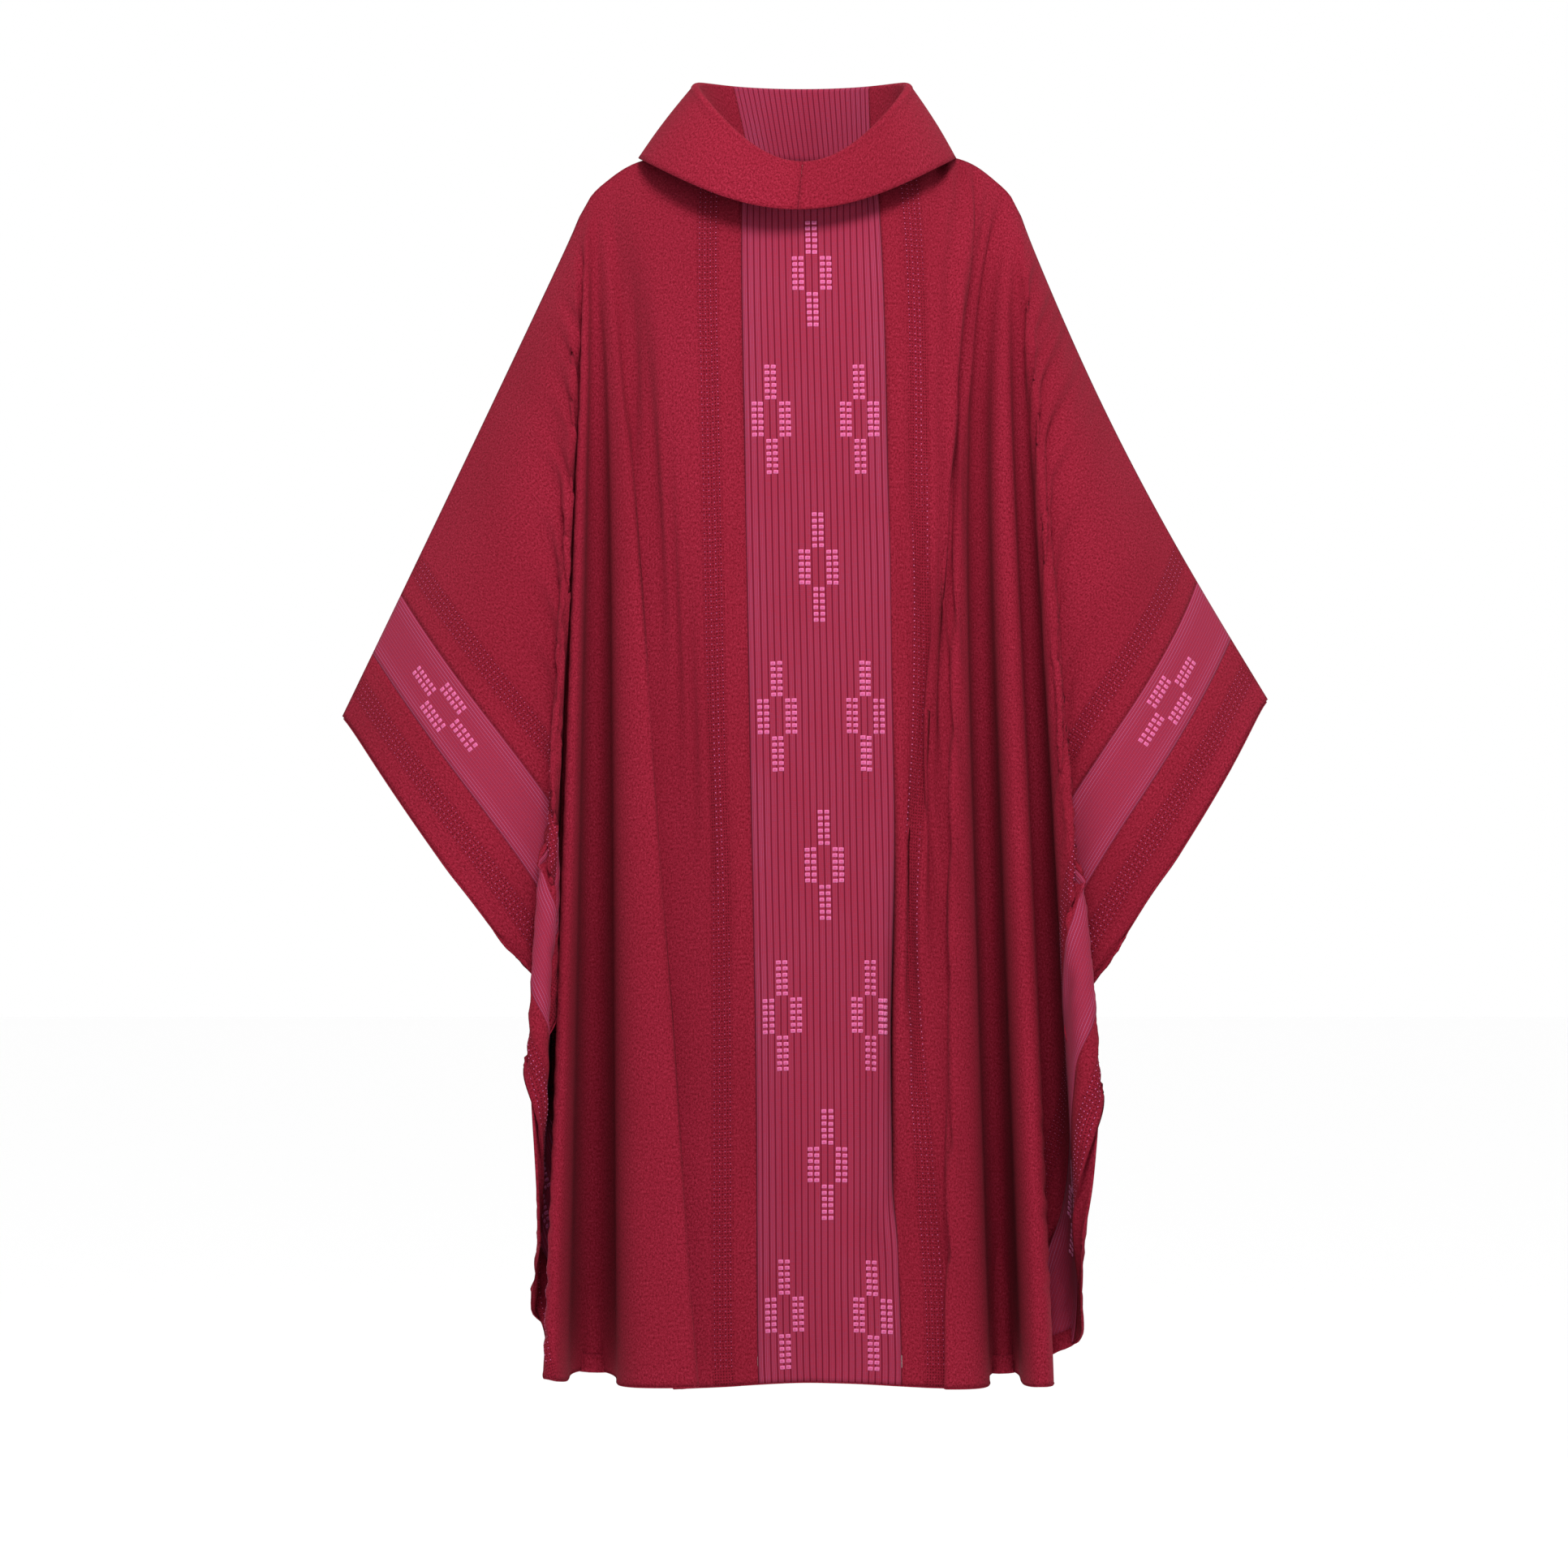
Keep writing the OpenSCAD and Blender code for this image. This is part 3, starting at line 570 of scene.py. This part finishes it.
def column_weave():
    """Dark warp lines with three dashed pale warp lines between each two, and a fine weft."""
    shade = Shade("column_weave", 0.9, 0.06, sheen=0.04, sheen_tint=(1, 0.4, 0.5))
    wander = shade.math("MULTIPLY", shade.math("SUBTRACT", shade.noise(14, (1, 3)), 0.5), 0.0016)
    u = shade.math("ADD", shade.u, wander)
    fleck = shade.noise(700, (1, 2), detail=3, rough=0.7)
    colour = shade.mix(shade.ramp(fleck, 0.35, 0.75), WOOL, COLUMN_GROUND)
    near_edge = shade.ramp(shade.math("ABSOLUTE", shade.u), 0.045, 0.073, 0.26, 0.50)
    patch = shade.ramp(shade.noise(22, (1, 2.2)), 0.35, 0.65, 0.55, 1)
    strength = shade.math("MULTIPLY", near_edge, patch)
    pale = shade.math("MULTIPLY", shade.lines(u, WARP_PITCH, 0.0006), strength)
    dash = shade.ramp(shade.from_line(shade.v, WEFT_PITCH), 0.0002, 0.0007, 0.45, 1)
    pale = shade.math("MULTIPLY", pale, dash)
    colour = shade.mix(pale, colour, PALE)
    weft_share = shade.ramp(fleck, 0.3, 0.6, 0, 0.12)
    weft = shade.math("MULTIPLY", shade.lines(shade.v, WEFT_PITCH, 0.0007), weft_share)
    colour = shade.mix(weft, colour, PALE)
    deep = shade.lines(u, DARK_WARP_PITCH, 0.0011)
    colour = shade.mix(shade.math("MULTIPLY", deep, 0.9), colour, DEEP_LINE)
    height = shade.math("SUBTRACT", shade.math("ADD", fleck, pale), deep)
    return shade.finish(colour, height, 0.0004)


def wrist_weave():
    """Thin pale warp lines, wider apart and brighter towards both edges of the band."""
    shade = Shade("wrist_weave", 0.9, 0.06, sheen=0.04, sheen_tint=(1, 0.4, 0.5))
    fleck = shade.noise(700, (1, 2), detail=3, rough=0.7)
    colour = shade.mix(shade.ramp(fleck, 0.35, 0.75), WOOL, COLUMN_GROUND)
    middle = (BAND_EDGE + BORDER_EDGE) / 2
    off_middle = shade.math("ABSOLUTE", shade.math("SUBTRACT", shade.math("ABSOLUTE", shade.u), middle))
    bright = shade.ramp(off_middle, 0.012, 0.024, 0.24, 0.55)
    dash = shade.ramp(shade.from_line(shade.v, WEFT_PITCH), 0.0002, 0.0007, 0.55, 1)
    pale = shade.math("MULTIPLY", shade.lines(off_middle, WRIST_WARP_PITCH, 0.0009, 0.0015), bright)
    pale = shade.math("MULTIPLY", pale, dash)
    fine = shade.math("MULTIPLY", shade.lines(off_middle, WRIST_WARP_PITCH, 0.0006), 0.10)
    colour = shade.mix(shade.math("MAXIMUM", pale, fine), colour, PALE)
    return shade.finish(colour, shade.math("ADD", fleck, pale), 0.0004)


def motif_yarn():
    """Floats of soft pink yarn: a pale ridge round each cell, partly the yarn's own colour and partly
    painted highlight, rosier in its middle.
    """
    shade = Shade("motif_yarn", 0.75, 0.2, sheen=0.2, sheen_tint=(1, 0.8, 0.9))
    ends = [shade.math("ABSOLUTE", s) for s in (shade.u, shade.v)]
    # The rim of each cell is painted paler: partly the yarn's own colour, partly painted highlight.
    rim = shade.ramp(shade.math("MAXIMUM", *ends), 0.30, 0.72)
    fibre = shade.noise(5, (0.25, 1), detail=3)
    colour = shade.mix(rim, (0.37, 0.048, 0.145), (0.52, 0.115, 0.265))
    colour = shade.mix(shade.ramp(fibre, 0.35, 0.70, 0, 0.5), colour, (0.62, 0.10, 0.26))
    return shade.finish(colour, fibre, 0.0003)


def tape_weave(name, light, dark, pitch, roughness=0.8, specular=0.2):
    """A narrow woven tape: slanting ribs that change direction down its middle."""
    shade = Shade(name, roughness, specular, sheen=0.1, sheen_tint=(1, 0.7, 0.7))
    slant = shade.math("ADD", shade.math("ABSOLUTE", shade.u), shade.v)
    rib = shade.ramp(shade.from_line(slant, pitch), 0, pitch / 2)
    fibre = shade.noise(1500, (1, 2), detail=2)
    share = shade.math("MULTIPLY", rib, shade.ramp(fibre, 0.2, 0.7, 0.5, 1))
    return shade.finish(shade.mix(share, dark, light), rib, 0.0003)


def canvas_weave():
    shade = Shade("canvas", 0.9, 0.1)
    warp = shade.ramp(shade.from_line(shade.u, 0.0009), 0, 0.0004)
    weft = shade.ramp(shade.from_line(shade.v, 0.0009), 0, 0.0004)
    thread = shade.math("MULTIPLY", warp, weft)
    return shade.finish(shade.mix(thread, (0.40, 0.35, 0.27), (0.66, 0.60, 0.49)), thread, 0.0003)


def satin():
    shade = Shade("label_satin", 0.42, 0.5, sheen=0.1)
    thread = shade.ramp(shade.from_line(shade.v, 0.0004), 0, 0.0002)
    cloud = shade.noise(120, (1, 6), detail=3)
    share = shade.math("MULTIPLY", thread, shade.ramp(cloud, 0.3, 0.7, 0.6, 1))
    return shade.finish(shade.mix(share, (0.66, 0.62, 0.55), (0.86, 0.83, 0.77)), thread, 0.0001)


def thread():
    """Twisted sewing thread: slanting plies along each stitch."""
    shade = Shade("sewing_thread", 0.5, 0.4)
    ply = shade.lines(shade.math("MULTIPLY_ADD", shade.u, 0.5, shade.v), 0.35, 0.16)
    return shade.finish(shade.mix(ply, (0.40, 0.022, 0.05), (0.20, 0.008, 0.02)), ply, 0.0001)


MATERIALS = {
    "wool_ground": wool("wool_ground", True),
    "column_weave": column_weave(),
    "wrist_weave": wrist_weave(),
    "motif_yarn": motif_yarn(),
    "twill_tape": tape_weave("twill_tape", (0.26, 0.012, 0.028), (0.13, 0.004, 0.010), 0.0012),
    "canvas": canvas_weave(),
    "sewing_thread": thread(),
    "label_satin": satin(),
}
PLAIN_WOOL = wool("wool_plain", False)


# ---------------------------------------------------------------- making pieces


def add_piece(name, points, faces, uv, slot, body="garment", nodes=(), material=None):
    """A piece of the object. uv holds one place per point."""
    mesh = bpy.data.meshes.new(name)
    mesh.from_pydata(np.asarray(points, float).reshape(-1, 3).tolist(), [], faces.tolist())
    layer = mesh.uv_layers.new(name="cut")
    places = np.zeros(len(mesh.loops), dtype=np.int32)
    mesh.loops.foreach_get("vertex_index", places)
    layer.data.foreach_set("uv", np.asarray(uv, np.float32).reshape(-1, 2)[places].ravel())
    mesh.shade_smooth()
    mesh.materials.append(material or MATERIALS[slot])
    ob = bpy.data.objects.new(name, mesh)
    bpy.context.scene.collection.objects.link(ob)
    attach(ob, body)
    if nodes:
        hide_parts(*nodes)
    return ob


def add_cloth(name, points, uv, slot, flip=False, thickness=CLOTH, offset=-1, flat=None, held="draped",
              rests_on=(), on_it=(), **how):
    """A piece of cloth from a grid of points and their places in the cut, with a thickness.
    flat is not used."""
    index = np.arange(points.shape[0] * points.shape[1]).reshape(points.shape[:2])
    ob = add_piece(name, points, quads_of(index, flip), uv, slot, **how)
    solid = ob.modifiers.new("thickness", "SOLIDIFY")
    solid.thickness = thickness
    solid.offset = offset
    solid.use_even_offset = False
    if flat:
        return


def add_stamped(name, template, origins, frames, slot, **how):
    """Many small copies of template, (points, faces), each in its own frame of three axes."""
    local, faces = template
    points = origins[:, None] + np.einsum("kc,ncx->nkx", local, frames)
    starts = np.arange(len(origins))[:, None, None] * len(local)
    all_faces = (starts + faces[None]).reshape(-1, faces.shape[1])
    spread = np.abs(local[:, :2]).max(0)
    uv = np.tile(local[:, :2] / spread, (len(origins), 1))
    return add_piece(name, points, all_faces, uv, slot, **how)


def pillow(half_across, half_down, height, n=6):
    """A rounded rectangular float of yarn, open underneath where it sinks into the cloth."""
    s = np.sin(np.linspace(-1, 1, n) * np.pi / 2)
    x, y = np.meshgrid(s, s, indexing="ij")
    z = height * ((1 - x**4) * (1 - y**4)) ** 0.5 - 0.0003
    local = np.stack([x * half_across, y * half_down, z], -1).reshape(-1, 3)
    return local, quads_of(np.arange(n * n).reshape(n, n), False)


def strand(length, radius, sides=6):
    """A stitch of thread along the second axis, thinner at its ends."""
    stations = np.array([-1, -0.85, -0.4, 0.4, 0.85, 1])
    widths = radius * np.array([0.15, 0.7, 1, 1, 0.7, 0.15])
    around = np.linspace(0, 2 * np.pi, sides + 1)
    local = np.array([
        [(w * np.cos(a), s * length / 2, w * np.sin(a)) for a in around]
        for s, w in zip(stations, widths)
    ])
    index = np.arange(len(stations) * (sides + 1)).reshape(-1, sides + 1)
    return local.reshape(-1, 3), quads_of(index, False)


def on_cloth(draped, u, v, lift):
    """Origins and frames of places on the draped cloth."""
    across, down, outward = draped.axes(u, v)
    return draped.at(u, v) + lift * outward, np.stack([across, down, outward], 1)


def grid_between(draped, u0, u1, columns, rows, gap=0.0001):
    """Cut points of a piece between two lines of u, from the top edge to the foot."""
    low, high = min(u0, u1) + gap, max(u0, u1) - gap
    u = np.repeat(np.linspace(low, high, columns)[:, None], rows, 1)
    top, foot = draped.top(u), draped.foot(u)
    return u, top + (foot - top) * np.linspace(0, 1, rows)


def add_panel(draped, name, node, u0, u1, columns, rows, slot, rests_on, on_it):
    u, v = grid_between(draped, u0, u1, columns, rows)
    add_cloth(name, draped.at(u, v), np.stack([u, v], -1), slot, draped.side == FRONT,
              nodes=[node], rests_on=rests_on, on_it=on_it)


# ---------------------------------------------------------------- the woven cloth


def motif_cells(centre_u, centre_v):
    """The cut places of one motif's cells: four blocks of two by six."""
    i, j = np.meshgrid([-0.5, 0.5], np.arange(6) - 2.5, indexing="ij")
    blocks = [(0, -1), (-1, 0), (1, 0), (0, 1)]
    u = np.concatenate([(centre_u + a * BLOCK_OFFSET[0] + i * CELL_PITCH[0]).ravel() for a, b in blocks])
    v = np.concatenate([(centre_v + b * BLOCK_OFFSET[1] + j * CELL_PITCH[1]).ravel() for a, b in blocks])
    return u, v


def add_motifs(name, node, places, rng):
    """places are (draped, u, v) of the motifs' middles."""
    parts = []
    for draped, cu, cv in places:
        u, v = motif_cells(cu, cv)
        u, v = u + rng.normal(0, 0.00012, u.shape), v + rng.normal(0, 0.00015, v.shape)
        parts.append(on_cloth(draped, u, v, 0))
    origins, frames = (np.concatenate(x) for x in zip(*parts))
    return add_stamped(name, pillow(*CELL_HALF, CELL_HEIGHT), origins, frames, "motif_yarn", nodes=[node])


def add_openwork(name, draped, centres):
    """Columns of small floats beside each band."""
    us, vs = [], []
    for c in centres:
        for k in range(4):
            u = c + (k - 1.5) * OPENWORK_PITCH[0]
            start = float(draped.top(u)) + 0.012 + (k % 2) * OPENWORK_PITCH[1] / 2
            v = np.arange(start, float(draped.foot(u)) - HEM_WIDTH, OPENWORK_PITCH[1])
            us.append(np.full(v.shape, u))
            vs.append(v)
    origins, frames = on_cloth(draped, np.concatenate(us), np.concatenate(vs), 0)
    return add_stamped(name, pillow(*DOT_HALF, DOT_HEIGHT, 4), origins, frames, "motif_yarn")


def add_hem(draped):
    """The edge turned up inside, round the foot and up both open side edges."""
    angle = np.linspace(0, np.pi / 2, 260)
    u = HALF_WIDTH * np.sin(angle) ** (2 / CORNER_POWER)
    v = CUT_LENGTH - (CUT_LENGTH - SIDE_LENGTH) * (1 - np.cos(angle) ** (2 / CORNER_POWER))
    end_v = HALF_WIDTH * math.tan(CUT_SLOPE) + 0.004
    u = np.append(u, HALF_WIDTH)
    v = np.append(v, end_v)
    u, v = np.concatenate([-u[:0:-1], u]), np.concatenate([v[:0:-1], v])
    run = np.concatenate([[0], np.cumsum(np.hypot(np.diff(u), np.diff(v)))])
    even = np.linspace(0, run[-1], int(run[-1] / 0.008))
    u, v = np.interp(even, run, u), np.interp(even, run, v)
    du, dv = np.gradient(u), np.gradient(v)
    size = np.hypot(du, dv)
    inward = np.stack([dv, -du], -1) / size[:, None]
    edge, normal = draped.at(u, v), draped.axes(u, v)[2]
    inset = lambda d: (u + inward[:, 0] * d, v + inward[:, 1] * d)
    beyond = unit(edge - draped.at(*inset(0.004)))
    turn = [edge + 0.0001 * normal]
    turn += [edge + 0.0010 * beyond - depth * normal for depth in (0.0005, 0.0016)]
    turn += [edge - 0.0022 * normal]
    turn += [draped.off(*inset(d), -CLOTH - 0.0008) for d in (0.004, 0.008, 0.013, HEM_WIDTH)]
    points = np.stack(turn, 1)
    across = np.array([0, 0.001, 0.002, 0.003, 0.006, 0.010, 0.014, 0.019])
    uv = np.stack([np.repeat(even[:, None], len(across), 1), np.repeat(across[None], len(even), 0)], -1)
    name = SIDE_NAMES[draped.side]
    add_cloth(f"{name}_hem_turned", points, uv, "wool_ground", draped.side == BACK, 0.0005,
              nodes=[f"{name}_hem"], material=PLAIN_WOOL, held="folded",
              flat=(float(across[-1]), float(run[-1])), rests_on=[f"{name}_column"])


def add_side(draped, rng):
    side = SIDE_NAMES[draped.side]
    motifs = []
    for row in range(8):
        v = MOTIF_START + row * MOTIF_PITCH
        motifs += [(draped, u, v) for u in ((0,) if row % 2 == 0 else (-PAIR_HALF, PAIR_HALF))]
    woven = add_motifs(f"{side}_column_floats", f"{side}_column_motifs", motifs, rng)
    add_panel(draped, f"{side}_column_woven", f"{side}_column", -COLUMN_HALF, COLUMN_HALF, 31, 240,
              "column_weave", ["neck_binding"], [woven])
    for hand, hand_name in HAND_NAMES.items():
        tape = [f"shoulder_tape_{hand_name}"]
        inner = add_openwork(f"{side}_openwork_{hand_name}", draped, [hand * c for c in OPENWORK[:2]])
        outer = add_openwork(f"{side}_border_openwork_{hand_name}", draped, [hand * OPENWORK[2]])
        add_panel(draped, f"{side}_wool_{hand_name}", f"{side}_cloth_{hand_name}",
                  hand * COLUMN_HALF, hand * BAND_EDGE, 100, 220, "wool_ground", tape, [inner])
        add_panel(draped, f"{side}_band_woven_{hand_name}", f"{side}_wrist_band_{hand_name}",
                  hand * BAND_EDGE, hand * BORDER_EDGE, 13, 140, "wrist_weave", tape, [])
        add_panel(draped, f"{side}_border_wool_{hand_name}", f"{side}_wrist_border_{hand_name}",
                  hand * BORDER_EDGE, hand * HALF_WIDTH, 13, 140, "wool_ground", tape, [outer])
    add_hem(draped)


def add_wrist_motifs(drapes, hand, rng):
    middle = hand * (BAND_EDGE + BORDER_EDGE) / 2
    places = [(d, middle, WRIST_MOTIF_START + k * MOTIF_PITCH) for d in drapes.values() for k in (0, 4)]
    name = HAND_NAMES[hand]
    add_motifs(f"wrist_floats_{name}", f"wrist_motifs_{name}", places, rng)


def add_shoulder_tape(draped, hand):
    """Stay tape lying just under the shoulder and sleeve seam."""
    u = hand * np.linspace(0.105, 0.50, 90)
    line = draped.at(u, draped.top(u))
    along = unit(np.gradient(line, axis=0))
    down = unit(np.cross(along, (0, hand, 0)))
    middle = line + 0.006 * down * np.sign(-down[:, 2:])
    y = np.linspace(-0.003, 0.003, 5)
    points = middle[:, None] + y[None, :, None] * np.array([0, 1, 0])
    run = np.concatenate([[0], np.cumsum(np.linalg.norm(np.diff(middle, axis=0), axis=1))])
    uv = np.stack([np.repeat(y[None], len(run), 0), np.repeat(run[:, None], len(y), 1)], -1)
    name = HAND_NAMES[hand]
    add_cloth(f"stay_tape_{name}", points, uv, "twill_tape", hand == RIGHT, 0.0008, 0,
              nodes=[f"shoulder_tape_{name}"], held="hung", rests_on=[f"front_cloth_{name}"])


# ---------------------------------------------------------------- the collar


def away(around):
    """Level direction outward from the neck; around is 0 at the front and grows to the right."""
    return np.stack([np.sin(around), -np.cos(around), 0 * around], -1)


def ring(around, half, reach, heights, power, shift):
    """A closed line round the neck, from heights[0] at the front to heights[1] at the back."""
    swing = 1 - (1 - (1 - np.cos(around)) / 2) ** power
    y = np.where(np.cos(around) > 0, -reach[FRONT] * np.cos(around), -reach[BACK] * np.cos(around))
    return np.stack([half * np.sin(around) + shift, y, heights[0] + (heights[1] - heights[0]) * swing], -1)


def fold_ring(around):
    """The line that the collar folds over."""
    return ring(around, FOLD_HALF, FOLD_REACH, FOLD_HEIGHT, FOLD_POWER, FOLD_SHIFT)


def neck_ring(drapes, around):
    """The neckline, a little above the cloth."""
    u = NECK_HALF * np.sin(around)
    front, back = (drapes[s].at(u, drapes[s].top(u)) for s in (FRONT, BACK))
    return np.where(np.cos(around)[:, None] > 0, front, back) + (0, 0, 0.0015)


def collar_profile(drapes, around):
    """Points of the folded collar cloth, from the neck seam over the fold to its free edge."""
    neck = neck_ring(drapes, around)
    fold = fold_ring(around)
    free = ring(around, EDGE_HALF, EDGE_REACH, EDGE_HEIGHT, EDGE_POWER, EDGE_SHIFT)
    out = away(around)
    roll = [fold + FOLD_RADIUS * (math.sin(t) * np.array([0, 0, 1]) - math.cos(t) * out)
            for t in np.linspace(0, math.pi, 11)]
    rise = [neck + (roll[0] - neck) * t for t in np.linspace(0, 1, 9)[:-1]]
    fall = [roll[-1] + (free - roll[-1]) * t + 0.002 * math.sin(math.pi * t) * out
            for t in np.linspace(0, 1, 14)[1:]]
    return np.stack(rise + roll + fall, 1)


def add_collar(drapes, name, node, start, end, count):
    around = np.linspace(start, end, count)
    points = collar_profile(drapes, around)
    steps = np.linalg.norm(np.diff(points, axis=1), axis=2)
    down = np.concatenate([np.zeros((count, 1)), np.cumsum(steps, 1)], 1)
    arcs = np.linalg.norm(np.diff(points, axis=0), axis=2)
    run = np.concatenate([[0], np.cumsum(arcs.mean(1))])
    uv = np.stack([np.repeat(run[:, None], points.shape[1], 1), down], -1)
    striped = name.endswith("back")
    slot = "column_weave" if striped else "wool_ground"
    material = MATERIALS[slot] if striped else PLAIN_WOOL
    uv[..., 0] -= run[-1] / 2
    add_cloth(name, points, uv, slot, False, nodes=[node], material=material, held="folded",
              flat=(float(down.mean(0)[-1]), float(run[-1])), rests_on=["neck_binding"])


def add_interfacing(drapes):
    around = np.linspace(-math.pi, math.pi, 120)
    low = neck_ring(drapes, around)
    top = fold_ring(around) - FOLD_RADIUS * away(around)
    shares = np.linspace(0.1, 0.96, 7)
    points = np.stack([low + (top - low) * s + (CLOTH + 0.0012) * away(around) for s in shares], 1)
    uv = np.stack(np.broadcast_arrays(around[:, None] * 0.11, shares * 0.06), -1)
    add_cloth("collar_canvas", points, uv, "canvas", False, 0.0006, 0, nodes=["collar_interfacing"],
              held="stretched", rests_on=["neck_binding"])


def add_binding(drapes):
    around = np.linspace(-math.pi, math.pi, 140)
    top = neck_ring(drapes, around) - 0.0026 * away(around)
    shares = np.linspace(0, 1, 6)
    down = np.array([0, 0, BINDING_WIDTH]) + 0.001 * away(around)
    points = np.stack([top - s * down for s in shares], 1)
    across = shares * BINDING_WIDTH - BINDING_WIDTH / 2
    uv = np.stack(np.broadcast_arrays(around[:, None] * 0.09, across), -1)
    add_cloth("neck_tape", points, uv[..., ::-1], "twill_tape", True, 0.0008, 0, nodes=["neck_binding"],
              held="stretched", rests_on=["front_column"])


# ---------------------------------------------------------------- loop and label


def add_loop():
    """A tape that hangs in a rounded U from its two bartacks."""
    low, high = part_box("hanging_loop")
    half = (high.x - low.x) / 2
    half -= LOOP_TAPE / 2
    foot = low.z + LOOP_TAPE / 2
    turn = np.linspace(0, math.pi / 2, 12)
    corner_x = half - LOOP_BEND + LOOP_BEND * np.cos(turn)
    corner_z = foot + LOOP_BEND - LOOP_BEND * np.sin(turn)
    corner = np.stack([corner_x, corner_z], -1)
    right = np.concatenate([np.linspace((half, high.z), (half, foot + LOOP_BEND), 10)[:-1], corner])
    path = np.concatenate([right, right[::-1] * (-1, 1)])
    tangent = unit(np.gradient(path, axis=0))
    normal = np.stack([-tangent[:, 1], tangent[:, 0]], -1)
    across = np.linspace(-LOOP_TAPE / 2, LOOP_TAPE / 2, 7)
    flat = path[:, None] + across[None, :, None] * normal[:, None]
    y = LOOP_Y + 0 * flat[..., 0]
    points = np.stack([flat[..., 0], y, flat[..., 1]], -1)
    run = np.concatenate([[0], np.cumsum(np.linalg.norm(np.diff(path, axis=0), axis=1))])
    uv = np.stack(np.broadcast_arrays(across, run[:, None]), -1)
    add_cloth("loop_tape", points, uv, "twill_tape", False, 0.001, 0, body="loop", nodes=["hanging_loop"],
              held="hung", rests_on=["loop_bartacks"])


def add_stitches(name, node, places, directions, length, radius):
    """Short stitches of thread at places, along directions, on the back of the neck."""
    along = unit(np.array(directions, float))
    out = np.tile([0.0, 1.0, 0.0], (len(along), 1))
    frames = np.stack([np.cross(along, out), along, out], 1)
    origins = np.array(places, float)
    add_stamped(name, strand(length, radius), origins, frames, "sewing_thread", nodes=[node])


def add_bartacks():
    low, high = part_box("loop_bartacks")
    places, directions = [], []
    for middle in (low.x + LOOP_TAPE / 2, high.x - LOOP_TAPE / 2):
        for k in range(7):
            places.append((middle, (low.y + high.y) / 2, low.z + (k + 0.5) * (high.z - low.z) / 7))
            directions.append((1, 0, 0.05 * (-1) ** k))
        for k in (-1, 0, 1):
            places.append((middle + k * LOOP_TAPE * 0.4, high.y - 0.0002, (low.z + high.z) / 2))
            directions.append((0.15, 0, 1))
    add_stitches("bartack_thread", "loop_bartacks", places, directions, 0.0056, 0.00022)


def add_label():
    """A blank satin label, whose sides and foot curl inward, away from the back of the neck."""
    low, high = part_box("care_label")
    x = np.linspace(low.x, high.x, 25)
    z = np.linspace(high.z, low.z, 17)
    gx, gz = np.meshgrid(x, z, indexing="ij")
    curl = LABEL_SIDE_CURL * (2 * gx / (high.x - low.x)) ** 2
    curl = curl + LABEL_FOOT_CURL * (high.z - gz) / (high.z - low.z)
    points = np.stack([gx, (low.y + high.y) / 2 - curl, gz], -1)
    uv = np.stack([gx, gz], -1)
    add_cloth("satin_label", points, uv, "label_satin", True, 0.0006, 0, body="label", nodes=["care_label"],
              held="hung", rests_on=["label_seam"])
    low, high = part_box("label_seam")
    xs = np.arange(low.x + 0.001, high.x - 0.0005, 0.0027)
    places = [(px, (low.y + high.y) / 2, (low.z + high.z) / 2) for px in xs]
    add_stitches("label_thread", "label_seam", places, [(1, 0, 0.08)] * len(xs), 0.0022, 0.0003)


# ---------------------------------------------------------------- studio


def add_studio():
    scene = bpy.context.scene
    scene.view_settings.view_transform = "Standard"
    world = bpy.data.worlds.new("studio")
    scene.world = world
    world.use_nodes = True
    world.node_tree.nodes["Background"].inputs[0].default_value = (1, 1, 1, 1)
    world.node_tree.nodes["Background"].inputs[1].default_value = 1.0
    floor_mesh = bpy.data.meshes.new("floor")
    reach, height = 30, -2.4
    corners = [(x * reach, y * reach, height) for x, y in ((-1, -1), (1, -1), (1, 1), (-1, 1))]
    floor_mesh.from_pydata(corners, [], [(0, 1, 2, 3)])
    floor = bpy.data.objects.new("floor", floor_mesh)
    scene.collection.objects.link(floor)
    material = bpy.data.materials.new("floor")
    material.use_nodes = True
    shader = material.node_tree.nodes["Principled BSDF"]
    shader.inputs["Base Color"].default_value = (0.985, 0.985, 0.985, 1)
    shader.inputs["Roughness"].default_value = 0.9
    floor_mesh.materials.append(material)
    target = Vector((0, 0, -0.6))
    lights = ("key", (0.2, -2.6, 1.9), 140, 1.1), ("rim", (2.6, 2.2, 2.2), 25, 2.0)
    for name, place, power, size in lights:
        light = bpy.data.lights.new(name, "AREA")
        light.energy = power
        light.size = size
        lamp = bpy.data.objects.new(name, light)
        lamp.location = place
        lamp.rotation_euler = (target - lamp.location).to_track_quat("-Z", "Y").to_euler()
        scene.collection.objects.link(lamp)
    camera = bpy.data.cameras.new("camera")
    camera.lens = 108
    camera.sensor_width = 36
    eye = bpy.data.objects.new("camera", camera)
    eye.location = (-0.025, -5, -0.663)
    eye.rotation_euler = (math.pi / 2, 0, 0)
    scene.collection.objects.link(eye)
    scene.camera = eye


drapes = drape()
rng = np.random.default_rng(5)
for draped in drapes.values():
    add_side(draped, rng)
for hand in HAND_NAMES:
    add_wrist_motifs(drapes, hand, rng)
    add_shoulder_tape(drapes[FRONT], hand)
gap = 0.0007  # radians from a collar seam to the cloth on either side of it
back_end = 2 * math.pi - BAND_TURN - gap
add_collar(drapes, "collar_roll_right", "collar_right", gap, BAND_TURN - gap, 70)
add_collar(drapes, "collar_roll_left", "collar_left", gap - BAND_TURN, -gap, 70)
add_collar(drapes, "collar_roll_back", "collar_back_band", BAND_TURN + gap, back_end, 46)
add_interfacing(drapes)
add_binding(drapes)
add_loop()
add_bartacks()
add_label()
add_studio()
